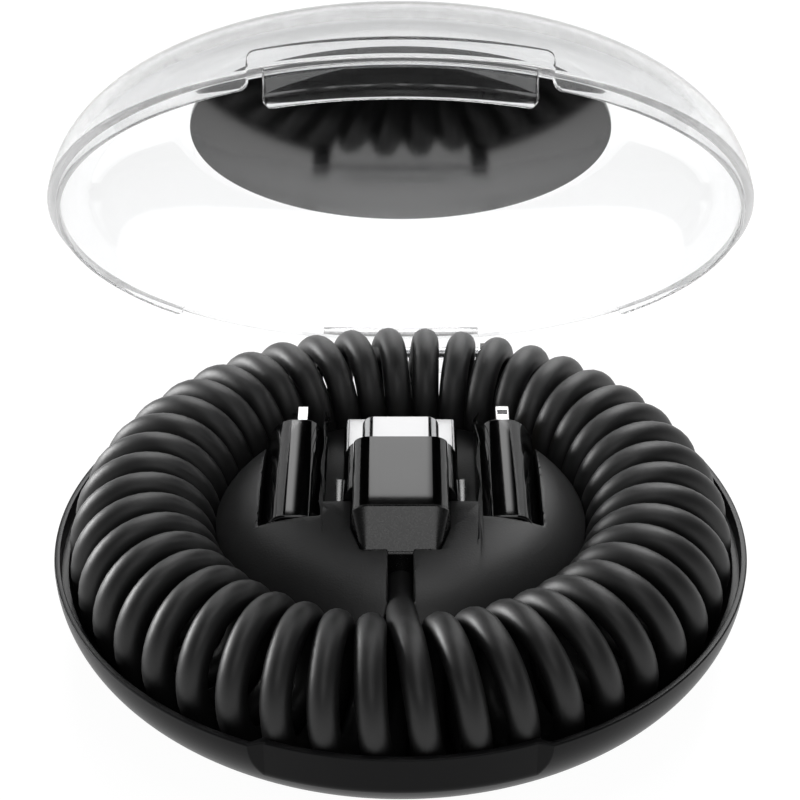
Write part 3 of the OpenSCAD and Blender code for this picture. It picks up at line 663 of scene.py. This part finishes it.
crown_r = CRADLE_R * np.sin(np.linspace(0.03, np.pi / 2, 44))
crown = (1 - (crown_r / CRADLE_R) ** CRADLE_P).clip(0) ** CRADLE_Q
crown_z = CRADLE_EDGE + (CRADLE_TOP - CRADLE_EDGE) * crown
under_d = (RIM_Z + CRADLE_EDGE - FLOOR_Z) * np.linspace(0, 1, 26)[1:] ** UNDER_CROWD
under_r = oval_radius(under_d, CRADLE_R, UNDER_B, UNDER_P)
cradle_profile = np.concatenate([np.column_stack([crown_r, crown_z + RIM_Z]),
                                 np.column_stack([under_r, RIM_Z + CRADLE_EDGE - under_d])])
cradle_rings = turned(cradle_profile, 256)
cradle = make_piece("cradle", cradle_rings, closed_faces(*cradle_rings.shape[:2]), matte,
                    "case", ["cable_cradle"])
slot_outline = [[-SLOT_LIP, RIM_Z + 12], [-SLOT_LIP, RIM_Z + SLOT_ZR + SLOT_NECK],
                [-SLOT_R, RIM_Z + SLOT_ZR], [-SLOT_R, FLOOR_Z - 1],
                [SLOT_R, FLOOR_Z - 1], [SLOT_R, RIM_Z + SLOT_ZR],
                [SLOT_LIP, RIM_Z + SLOT_ZR + SLOT_NECK], [SLOT_LIP, RIM_Z + 12]]
seat_half, seat_end = UP_HALF + PLAY, RELIEF_HALF + PLAY
relief_seat = [[seat_half, UP_Y[0] + 0.1], [seat_half, UP_Y[0] - 0.3],
               [seat_end, RELIEF_Y - PLAY], [-seat_end, RELIEF_Y - PLAY],
               [-seat_half, UP_Y[0] - 0.3], [-seat_half, UP_Y[0] + 0.1]]
pockets = [block(-POCKET_IN, POCKET_IN, STEP_Y, FAR, RIM_Z + RECESS_FLOOR, FAR),
           block(-SEAT_HALF, SEAT_HALF, STEP_Y + 0.01, FAR, RIM_Z + SEAT_FLOOR, FAR),
           block(-seat_half, seat_half, UP_Y[0], 0, RIM_Z + UP_BOTTOM - PLAY, FAR),
           prism(relief_seat, 2, RIM_Z + RELIEF_LOW - 0.1, FAR),
           block(-THROAT_HALF, THROAT_HALF, UP_Y[0] + 0.05, 0, RIM_Z + THROAT_FLOOR, FAR),
           block(-POCKET_OUT, -POCKET_IN - 0.01, POCKET_Y, FAR, RIM_Z + POCKET_FLOOR, FAR),
           block(POCKET_IN + 0.01, POCKET_OUT, POCKET_Y, FAR, RIM_Z + POCKET_FLOOR, FAR),
           block(-SLOT_R, SLOT_R, -FAR, CHANNEL_END, 0, RIM_Z + CHANNEL_TOP),
           prism(slot_outline, 1, -FAR, RELIEF_Y + 0.02)]
for rings in pockets:
    cut_or_join(cradle, rings, "DIFFERENCE")
print("cradle faces before its bevel:", len(cradle.data.polygons))


def clean_and_bevel(piece, width, segments=2, angle=32, merge=0.02):
    """Joins points that nearly coincide, makes flat areas whole again, and rounds every edge
    sharper than the angle with a bevel of a width in millimetres."""
    shape = bmesh.new()
    shape.from_mesh(piece.data)
    bmesh.ops.remove_doubles(shape, verts=shape.verts, dist=merge * MM)
    bmesh.ops.dissolve_limit(shape, angle_limit=math.radians(FLAT_ANGLE),
                             verts=shape.verts, edges=shape.edges)
    shape.to_mesh(piece.data)
    shape.free()
    step = piece.modifiers.new("bevel", "BEVEL")
    step.width = width * MM
    step.segments = segments
    step.limit_method = "ANGLE"
    step.angle_limit = math.radians(angle)
    step.use_clamp_overlap = False
    step.miter_outer = "MITER_ARC"
    bake_modifiers(piece)
    shade_smooth(piece.data, 50)


clean_and_bevel(cradle, CRADLE_ROUND)
print("cradle faces:", len(cradle.data.polygons))

# %% [markdown]
# A small upright clip holds the double plug on each side. Its front leans back, which turns
# its face up towards the light, so a plain prism along X with four corners is enough.

# %% Clips
CLIP_X, CLIP_Y, CLIP_TOP = (6.12, 6.9), (-3.2, 1.6), 6
CLIP_LEAN = 0.86                  # how far the front leans back for each millimetre of height
CLIP_ROUND = 0.05
low, high = RIM_Z + SEAT_FLOOR - 0.2, RIM_Z + CLIP_TOP
slope = [[CLIP_Y[0], low], [CLIP_Y[0] + (high - low) * CLIP_LEAN, high],
         [CLIP_Y[1], high], [CLIP_Y[1], low]]
for name, side in (("left_clip", -1), ("right_clip", 1)):
    clip = prism(slope, 0, side * CLIP_X[0], side * CLIP_X[1])
    piece = make_piece(name, clip, closed_faces(2, 4), relief_rubber, "case")
    clean_and_bevel(piece, CLIP_ROUND)
print("clip height in millimetres:", round(high - low, 2))

# %% [markdown]
# The plugs and adapters are hard, polished mouldings with pressed metal shells. Each one is an
# outline drawn across its length and swept along it. Near an end face the outline moves inwards
# along a quarter circle, which gives the end the small round that catches a line of light.

# %% Outlines across a plug
def across(outline, y):
    """An outline of (x, height above the rim plane) pairs, placed at y."""
    return np.insert(outline, 1, y, axis=1) + [0, 0, RIM_Z]


def bore_along(outline, y0, y1):
    """Rings of a straight bore between two places on Y."""
    return np.stack([across(outline, y0), across(outline, y1)])


def mirrored(right):
    """A closed outline: its right half from the top down, then the same half mirrored."""
    right = np.asarray(right, float)
    return np.concatenate([right, right[::-1] * [-1, 1]])


def shoulder(x0, x1, top, drop, count=12):
    """A quarter oval from the end of a flat top, at x0, down to a side at x1."""
    t = np.linspace(0, np.pi / 2, count + 1)
    return np.column_stack([x0 + (x1 - x0) * np.sin(t), top - drop * (1 - np.cos(t))])


def rounded_box(half_w, half_h, radius, middle=0.0, count=8):
    """A rectangle whose four corners are quarter circles."""
    top = shoulder(half_w - radius, half_w, half_h, radius, count)
    bottom = top[::-1] * [1, -1]
    if radius >= half_h:
        bottom = bottom[1:]
    return mirrored(np.concatenate([top, bottom])) + [0, middle]


def chamfered(corners, size):
    """An outline with a small flat in place of each corner."""
    corners = np.asarray(corners, float)
    back = np.roll(corners, 1, axis=0) - corners
    on = np.roll(corners, -1, axis=0) - corners
    back *= size / np.linalg.norm(back, axis=1, keepdims=True)
    on *= size / np.linalg.norm(on, axis=1, keepdims=True)
    return np.stack([corners + back, corners + on], axis=1).reshape(-1, 2)


def inset(outline, distance):
    """The outline moved inwards: each point slides by distance * (n1 + n2) / (1 + n1 . n2),
    where n1 and n2 are the inward normals of its two edges."""
    following = np.roll(outline, -1, axis=0)
    edge = following - outline
    turn = np.sum(outline[:, 0] * following[:, 1] - following[:, 0] * outline[:, 1])
    inward = np.column_stack([-edge[:, 1], edge[:, 0]]) * np.sign(turn)
    inward /= np.linalg.norm(inward, axis=1, keepdims=True)
    before = np.roll(inward, 1, axis=0)
    bend = 1 + np.sum(inward * before, axis=1, keepdims=True)
    return outline + distance * (inward + before) / bend


def bar_rings(outline, y0, y1, round0, round1, steps=5):
    """Rings of a bar along Y whose end edges are quarter circles of two radii."""
    t = np.linspace(0, np.pi / 2, steps)
    near = [(round0, y0 + round0 * (1 - math.cos(a)), a) for a in t]
    far = [(round1, y1 - round1 * (1 - math.cos(a)), a) for a in t[::-1]]
    return np.stack([across(inset(outline, radius * (1 - math.sin(a))), y)
                     for radius, y, a in near + far])


def shell_rings(outline, wall, y0, y1, steps=7):
    """Rings of a thin tube along Y: along its outside, round its lip, back along its inside."""
    half = wall / 2
    lip = [across(inset(outline, half * (1 - math.cos(a))), y1 - half + half * math.sin(a))
           for a in np.linspace(0, np.pi, steps)]
    return np.stack([across(outline, y0)] + lip + [across(inset(outline, wall), y0)])


def shade_by_area(piece):
    """Lets large flat faces set the normals at their edges, so that they shine evenly."""
    step = piece.modifiers.new("normals", "WEIGHTED_NORMAL")
    step.keep_sharp = True
    bake_modifiers(piece)


def plug_part(name, rings, material, replaces, bores=(), closed_tube=False, sharp=40):
    """A lofted part on the case, with its bores cut out of it."""
    rows, cols = rings.shape[:2]
    faces = grid_faces(rows, cols, True, True) if closed_tube else closed_faces(rows, cols)
    piece = make_piece(name, rings, faces, material, "case", replaces, sharp)
    for bore in bores:
        cut_or_join(piece, bore, "DIFFERENCE")
    if bores:
        shade_smooth(piece.data, sharp)
    shade_by_area(piece)
    print(name, "faces:", len(piece.data.polygons))
    return piece


# %% Upper plug
# A shell is given by its width, height, underside above the rim plane, wall, start and tip.
C_SHELL_W, C_SHELL_H, C_ZR, C_WALL, C_Y, C_TIP = 8.25, 2.4, 6.55, 0.3, 0.6, 9.1
upper_half = np.concatenate([shoulder(UP_FLAT, UP_HALF, UP_TOP, UP_DROP), [[UP_HALF, UP_BOTTOM]]])
c_outline = rounded_box(C_SHELL_W / 2, C_SHELL_H / 2, C_SHELL_H / 2, C_ZR + C_SHELL_H / 2)
c_bore = bore_along(c_outline, C_Y, FAR)
BOARD_HALF, BOARD_START, BOARD_LOW, BOARD_HIGH = 4.1, -5.6, 6.7, 8.7
board_bed = block(-BOARD_HALF, BOARD_HALF, BOARD_START, C_Y + 0.01,
                  RIM_Z + BOARD_LOW, RIM_Z + BOARD_HIGH)
upper_rings = bar_rings(mirrored(upper_half), UP_Y[0], UP_Y[1], 0.04, 0.12)
plug_part("upper_housing", upper_rings, gloss, ["upper_plug_housing"],
          [c_bore, board_bed])
plug_part("upper_shell", shell_rings(c_outline, C_WALL, C_Y, C_TIP), plug_metal,
          ["upper_plug_shell"], closed_tube=True)

# %% [markdown]
# Behind the upper plug, a softer block takes the strain off the cable. It starts with the
# plug's own outline and narrows to a smaller one, so its rings are a blend of the two.

# %% Upper plug's strain relief
RELIEF_SLAB, RELIEF_CORNER, RELIEF_ROUND = 0.3, 0.6, 0.25
relief_from = np.concatenate([shoulder(UP_FLAT, UP_HALF, UP_TOP, UP_DROP),
                              shoulder(UP_HALF - 0.2, UP_HALF, -3, 0.2, 6)[::-1] * [1, -1]])
relief_flat = RELIEF_HALF - RELIEF_CORNER
relief_to = np.concatenate([shoulder(relief_flat, RELIEF_HALF, RELIEF_HIGH, RELIEF_CORNER),
                            shoulder(relief_flat, RELIEF_HALF, -RELIEF_LOW,
                                     RELIEF_CORNER, 6)[::-1] * [1, -1]])
relief_rings = [across(mirrored(relief_from), UP_Y[0])]
for share in np.linspace(0, 1, 9):
    y = UP_Y[0] - RELIEF_SLAB + share * (RELIEF_Y - UP_Y[0] + 2 * RELIEF_SLAB)
    relief_rings.append(across(mirrored(relief_from + share * (relief_to - relief_from)), y))
for t in np.linspace(np.pi / 2, 0, 5):
    relief_rings.append(across(inset(mirrored(relief_to), RELIEF_ROUND * (1 - math.sin(t))),
                               RELIEF_Y + RELIEF_ROUND * (1 - math.cos(t))))
plug_part("relief", np.stack(relief_rings), relief_rubber, ["upper_plug_relief"])

# %% [markdown]
# The lower plug lies under the upper one and is a little wider. Its sides rise past the upper
# plug's as two thin wings, so its outline is open in the middle, like a tray.

# %% Lower plug
LOW_HALF, LOW_BOTTOM, LOW_Y = 6.05, 0.9, (STEP_Y + 0.05, 4.87)
A_SHELL_W, A_SHELL_H, A_ZR, A_WALL, A_Y, A_TIP = 12, 4.5, 1.35, 0.32, -1.5, 13.3
WING_X, WING_TOP, WING_LOW, WING_P = UP_HALF + 0.03, 8.28, 6.2, 1.5
WINDOW_X, WINDOW_HALF, WINDOW_Y = 2.8, 1.15, (8.2, 10.2)
fall = np.linspace(0, 1, 12)
wing = np.column_stack([WING_X + (LOW_HALF - WING_X) * (1 - (1 - fall) ** WING_P) ** (1 / WING_P),
                        WING_TOP - (WING_TOP - WING_LOW) * fall])
lower_half = np.concatenate([[[WING_X, UP_BOTTOM - 0.03]], wing,
                             [[LOW_HALF, LOW_BOTTOM + 0.5], [LOW_HALF - 0.5, LOW_BOTTOM]]])
a_outline = rounded_box(A_SHELL_W / 2, A_SHELL_H / 2, 0.4, A_ZR + A_SHELL_H / 2)
a_bore = bore_along(a_outline, A_Y, FAR)
windows = [block(x - WINDOW_HALF, x + WINDOW_HALF, *WINDOW_Y, 0, FAR)
           for x in (-WINDOW_X, WINDOW_X)]
lower_rings = bar_rings(mirrored(lower_half), LOW_Y[0], LOW_Y[1], 0.1, 0.04)
lower_housing = plug_part("lower_housing", lower_rings, gloss,
                          ["lower_plug_housing"], [a_bore])
lower_shell = plug_part("lower_shell", shell_rings(a_outline, A_WALL, A_Y, A_TIP), plug_metal,
                        ["lower_plug_shell"], windows, closed_tube=True)

# %% [markdown]
# The cable leaves the upper plug for good, and the lower plug hangs on its far end.

# %% [markdown]
# The two adapters are the same moulding, mirrored. They stand on edge in their pockets, with
# a socket at the near end and a plug tip at the far end: on the left a trapezoid shell, on the
# right a slim blade.

# %% Adapter bodies
# Places on X are those of the right adapter. The left one is its mirror image.
ADAPTER_X, ADAPTER_FLAT, ADAPTER_IN, ADAPTER_OUT = 11.2, 0.74, 8.38, 14.7
ADAPTER_TOP, ADAPTER_BOTTOM, ADAPTER_Y, ADAPTER_ROUND = 6.27, -3.9, (-5.65, 12.7), 0.3
BODY_X, SOCKET_ZR, SOCKET_W, SOCKET_H, SOCKET_DEPTH, TIP_Y = 11.54, 1.2, 3.16, 8.94, 6.4, 9.6
ROOM_HALF, ROOM_LOW, ROOM_HIGH = 1.9, -2.6, 5
MICRO_W, MICRO_H, MICRO_ZR, MICRO_WALL, MICRO_TIP = 1.8, 6.85, 2.08, 0.25, 16.34
BLADE_T, BLADE_H, BLADE_X, BLADE_ZR, BLADE_TIP, BLADE_ROUND = 1.5, 6.7, 11.28, 2.65, 16.6, 1.2
inner_side = shoulder(ADAPTER_X - ADAPTER_FLAT, ADAPTER_IN, ADAPTER_TOP, 2.6)[::-1]
outer_side = shoulder(ADAPTER_X + ADAPTER_FLAT, ADAPTER_OUT, ADAPTER_TOP, 4)
underside = [[ADAPTER_OUT, ADAPTER_BOTTOM + 1], [ADAPTER_OUT - 1, ADAPTER_BOTTOM],
             [ADAPTER_IN + 1, ADAPTER_BOTTOM], [ADAPTER_IN, ADAPTER_BOTTOM + 1]]
adapter_outline = np.concatenate([inner_side, outer_side, underside])
tip_w, tip_h = MICRO_W / 2, MICRO_H / 2
trapezoid = chamfered([[-tip_w, -tip_h], [tip_w - 0.7, -tip_h], [tip_w, -tip_h + 0.9],
                       [tip_w, tip_h - 0.9], [tip_w - 0.7, tip_h], [-tip_w, tip_h]], 0.05)
trapezoid += [ADAPTER_X, MICRO_ZR]
blade_side = rounded_box((BLADE_TIP - TIP_Y) / 2, BLADE_H / 2, BLADE_ROUND, BLADE_ZR)
blade_side += [(BLADE_TIP + TIP_Y) / 2, 0]
socket = rounded_box(SOCKET_W / 2, SOCKET_H / 2, SOCKET_W / 2, SOCKET_ZR, 10) + [BODY_X, 0]
body = bar_rings(adapter_outline, ADAPTER_Y[0], ADAPTER_Y[1], ADAPTER_ROUND, ADAPTER_ROUND)
socket_end = ADAPTER_Y[0] + SOCKET_DEPTH
socket_bore = bore_along(socket, -FAR, socket_end)
board_room = block(BODY_X - ROOM_HALF, BODY_X + ROOM_HALF, socket_end - 0.01, TIP_Y + 0.01,
                   RIM_Z + ROOM_LOW, RIM_Z + ROOM_HIGH)
shell_bore = bore_along(trapezoid, TIP_Y, FAR)
blade_bore = block(BLADE_X - BLADE_T / 2, BLADE_X + BLADE_T / 2, TIP_Y, FAR,
                   RIM_Z + BLADE_ZR - BLADE_H / 2, RIM_Z + BLADE_ZR + BLADE_H / 2)
for name, side, tip_bore in (("left", -1, shell_bore), ("right", 1, blade_bore)):
    mirror = [side, 1, 1]
    plug_part(name + "_adapter", body * mirror, gloss,
              [name + "_adapter_housing"],
              [bore * mirror for bore in (socket_bore, board_room, tip_bore)])

# %% [markdown]
# The left tip is a pressed tube with two small windows for the catches. The right tip is a
# solid blade, drawn from its side, with a shallow bed for the contacts in each face and a
# detent in each edge, all four cut by Booleans.

# %% Adapter tips
CATCH_Z, CATCH_HALF, CATCH_Y = 2.2, 0.3, (MICRO_TIP - 3.2, MICRO_TIP - 1.6)
catch_windows = [block(ADAPTER_X - 2, ADAPTER_X, *CATCH_Y, z - CATCH_HALF, z + CATCH_HALF)
                 for z in (RIM_Z + MICRO_ZR - CATCH_Z, RIM_Z + MICRO_ZR + CATCH_Z)]
tip_rings = shell_rings(trapezoid, MICRO_WALL, TIP_Y, MICRO_TIP)
plug_part("left_tip", tip_rings * [-1, 1, 1], plug_metal, ["left_adapter_shell"],
          [window * [-1, 1, 1] for window in catch_windows], closed_tube=True)

BED, BED_Y, BED_HALF = 0.15, (BLADE_TIP - 4.4, BLADE_TIP - 1), 2.6
DETENT, DETENT_Y, DETENT_HALF = 0.3, (TIP_Y + 3, BLADE_TIP - 1.7), 0.57
blade_rings = bar_rings(blade_side, BLADE_X - BLADE_T / 2, BLADE_X + BLADE_T / 2, 0.1, 0.1)
blade_rings = blade_rings[:, :, [1, 0, 2]]
cuts = []
for side in (-1, 1):
    face = BLADE_X + side * BLADE_T / 2
    cuts.append(block(face - BED, face + BED, *BED_Y,
                      RIM_Z + BLADE_ZR - BED_HALF, RIM_Z + BLADE_ZR + BED_HALF))
    edge = RIM_Z + BLADE_ZR + side * BLADE_H / 2
    cuts.append(block(BLADE_X - DETENT_HALF, BLADE_X + DETENT_HALF, *DETENT_Y,
                      edge - DETENT, edge + DETENT))
plug_part("right_tip", blade_rings, plug_metal, ["right_adapter_blade"], cuts)

# %% [markdown]
# The picture is a bright studio shot: a pure white ground, black parts that stay black, and
# soft light from above and behind. A white world would light the black parts grey, so the
# floor and the world ask what kind of ray has met them. They are white to the camera, and to
# rays that have passed through the lid, and they give the parts only a little light. A
# polished part mirrors the white floor and a pale wall low down, and nothing pale above it.

# %% Studio helpers
def area_light(name, place, aim, size, power, rays="diffuse glossy"):
    """A rectangular light in metres and watts, seen only by the kinds of ray that are named."""
    data = bpy.data.lights.new(name, "AREA")
    data.shape = "RECTANGLE"
    data.size, data.size_y = size
    data.energy = power
    lamp = bpy.data.objects.new(name, data)
    lamp.location = place
    lamp.rotation_euler = (Vector(aim) - Vector(place)).to_track_quat("-Z", "Y").to_euler()
    for kind in ("camera", "diffuse", "glossy", "transmission"):
        setattr(lamp, "visible_" + kind, kind in rays)
    bpy.context.scene.collection.objects.link(lamp)
    return lamp


def light_link(lamp, names, state="INCLUDE"):
    """Lets a lamp reach only the named pieces, or with EXCLUDE all but those."""
    group = bpy.data.collections.new(lamp.name + "_pieces")
    for name in names:
        group.objects.link(bpy.data.objects[name])
    for entry in group.collection_objects:
        entry.light_linking.link_state = state
    lamp.light_linking.receiver_collection = group


def by_ray(tree, plain, white, *shown):
    """Mixes two shaders: the white one for rays of the kinds shown, the plain one otherwise."""
    path = add_node(tree, "ShaderNodeLightPath")
    total = path.outputs[shown[0]]
    for kind in shown[1:]:
        add = add_node(tree, "ShaderNodeMath", operation="ADD", use_clamp=True)
        tree.links.new(total, add.inputs[0])
        tree.links.new(path.outputs[kind], add.inputs[1])
        total = add.outputs[0]
    mix = add_node(tree, "ShaderNodeMixShader")
    tree.links.new(total, mix.inputs[0])
    tree.links.new(plain.outputs[0], mix.inputs[1])
    tree.links.new(white.outputs[0], mix.inputs[2])
    return mix


def strength_along(tree, source, axis, shader, start, stop, first, last, **how):
    """A shader's strength goes from first to last as a coordinate goes from start to stop."""
    split = add_node(tree, "ShaderNodeSeparateXYZ")
    level = add_node(tree, "ShaderNodeMapRange",
                     From_Min=start, From_Max=stop, To_Min=first, To_Max=last, **how)
    tree.links.new(source, split.inputs["Vector"])
    tree.links.new(split.outputs[axis], level.inputs["Value"])
    tree.links.new(level.outputs["Result"], shader.inputs["Strength"])


# %% Floor
FLOOR_HALF, FLOOR_GLOW, FLOOR_LIT = 3.0, 0.97, 0.1
WHITE = (1, 1, 1, 1)
floor_mesh = bpy.data.meshes.new("floor")
corners = [(-FLOOR_HALF, -FLOOR_HALF, 0), (FLOOR_HALF, -FLOOR_HALF, 0),
           (FLOOR_HALF, FLOOR_HALF, 0), (-FLOOR_HALF, FLOOR_HALF, 0)]
floor_mesh.from_pydata(corners, [], [(0, 1, 2, 3)])
floor = bpy.data.objects.new("floor", floor_mesh)
bpy.context.scene.collection.objects.link(floor)
floor_paint = new_material("floor_paint", Base_Color=(0.7, 0.7, 0.7, 1), Roughness=1.0,
                           Specular_IOR_Level=0.0)
tree = floor_paint.node_tree
glow = add_node(tree, "ShaderNodeEmission", Color=WHITE, Strength=FLOOR_GLOW)
lit = add_node(tree, "ShaderNodeBsdfDiffuse", Color=(FLOOR_LIT, FLOOR_LIT, FLOOR_LIT, 1))
both = add_node(tree, "ShaderNodeAddShader")
tree.links.new(glow.outputs[0], both.inputs[0])
tree.links.new(lit.outputs[0], both.inputs[1])
mix = by_ray(tree, tree.nodes["Principled BSDF"], both,
             "Is Camera Ray", "Is Glossy Ray", "Is Transmission Ray")
tree.links.new(mix.outputs[0], tree.nodes["Material Output"].inputs["Surface"])
floor_mesh.materials.append(floor_paint)

# %% World
DIM, WALL_LOW, WALL_HIGH = 0.06, 0.1, 0.4
world = bpy.data.worlds.new("studio")
world.use_nodes = True
tree = world.node_tree
dim = tree.nodes["Background"]
dim.inputs["Color"].default_value = WHITE
dim.inputs["Strength"].default_value = DIM
white, wall = (add_node(tree, "ShaderNodeBackground", Color=WHITE) for _ in range(2))
where = add_node(tree, "ShaderNodeTexCoord")
strength_along(tree, where.outputs["Generated"], "Z", wall, WALL_LOW, WALL_HIGH, 1, DIM)
mix = by_ray(tree, dim, wall, "Is Glossy Ray")
mix = by_ray(tree, mix, white, "Is Camera Ray", "Is Transmission Ray")
tree.links.new(mix.outputs[0], tree.nodes["World Output"].inputs["Surface"])
bpy.context.scene.world = world
bpy.context.scene.view_settings.view_transform = "Standard"
print("share of the white world that lights the parts:", DIM)

# %% [markdown]
# Three softboxes light the case from above, behind and in front, and a strip from the back
# left draws the pale edges of the turns and the bowl. The clear lid would mirror the softboxes
# as grey squares, so they leave it out. It casts no shadow either, because a renderer's shadow
# rays stop at glass that bends light, and the case would then stand in the dark. The clips
# have a light of their own, which only they mirror.

# %% Lights
AIM = (0, 0, 0.01)
lamps = {
    "top_softbox": ((0.05, -0.03, 0.55), (0.3, 0.16), 0.5, ["clear_lid"], "EXCLUDE"),
    "back_softbox": ((0.05, 0.42, 0.4), (0.4, 0.24), 4.6, ["clear_lid"], "EXCLUDE"),
    "back_left_strip": ((-0.45, 0.2, 0.1), (0.3, 0.1), 3.0, ["cable", "base_bowl"], "INCLUDE"),
    "front_softbox": ((0.02, -0.38, 0.4), (0.22, 0.15), 0.32, ["clear_lid"], "EXCLUDE"),
    "clip_softbox": ((0, -0.38, 0.4), (0.3, 0.3), 3.0, ["left_clip", "right_clip"], "INCLUDE")}
for name, (place, size, power, pieces, state) in lamps.items():
    rays = "glossy" if name == "clip_softbox" else "diffuse glossy"
    light_link(area_light(name, place, AIM, size, power, rays), pieces, state)
lid.visible_shadow = False
print("lamps in watts:", sum(power for _, _, power, _, _ in lamps.values()))

# %% [markdown]
# The strips of light on the plugs are mirror images of small cards, which hang in a plane
# just below the lid's disc. Each card is seen only by the piece that it is named for, and is
# as wide as the flat that shows it. On the housings it fades out towards one side. A card's
# place is given in millimetres across the case and along the plane.

# %% Reflection cards
CARD_MIDDLE = Vector((0, 0.0127, 0.038))
CARD_ALONG = Vector((0, 0.6237, -0.7817))
CARD_FACING = Vector((0, -0.7817, -0.6237))
cards = {"plug": (["upper_housing"], 2.9, -3.65, 4.2, 4, 13.9, 0, 0.17),
         "upper_shell": (["upper_shell"], 1.85, -3.8, 4.0, 4, 19, 0, 0),
         "lower_shell": (["lower_shell"], 1.85, -6.2, 6.2, 14.05, 18.6, 0, 0),
         "tips": (["left_tip", "right_tip"], 2.2, -14, 14, 18.7, 22, 0, 0),
         "left_adapter": (["left_adapter"], 3.2, -13.5, -11.7, 7, 18.6, -4.6, 0.5),
         "right_adapter": (["right_adapter"], 2.9, 11.74, 13.3, 7, 18.6, 4.6, 0.5)}
for name, (pieces, radiance, x0, x1, s0, s1, turn, fade) in cards.items():
    place = CARD_MIDDLE + CARD_ALONG * (s0 + s1) / 2 * MM + Vector(((x0 + x1) / 2 * MM, 0, 0))
    size = ((x1 - x0) * MM, (s1 - s0) * MM)
    card = area_light(name + "_card", place, place + CARD_FACING, size,
                      math.pi * radiance * size[0] * size[1], "glossy")
    light_link(card, pieces)
    sideways = Vector((1, 0, 0))
    upright = Matrix((sideways, CARD_ALONG, -CARD_FACING)).transposed()
    card.rotation_euler = upright.to_euler()
    card.rotation_euler.rotate_axis("Z", math.radians(turn))
    if fade:
        card.data.use_nodes = True
        tree = card.data.node_tree
        where = add_node(tree, "ShaderNodeNewGeometry")
        strength_along(tree, where.outputs["Parametric"], "X", tree.nodes["Emission"],
                       1 - fade, 1, 1, 0, interpolation_type="SMOOTHSTEP")
print("cards:", len(cards))
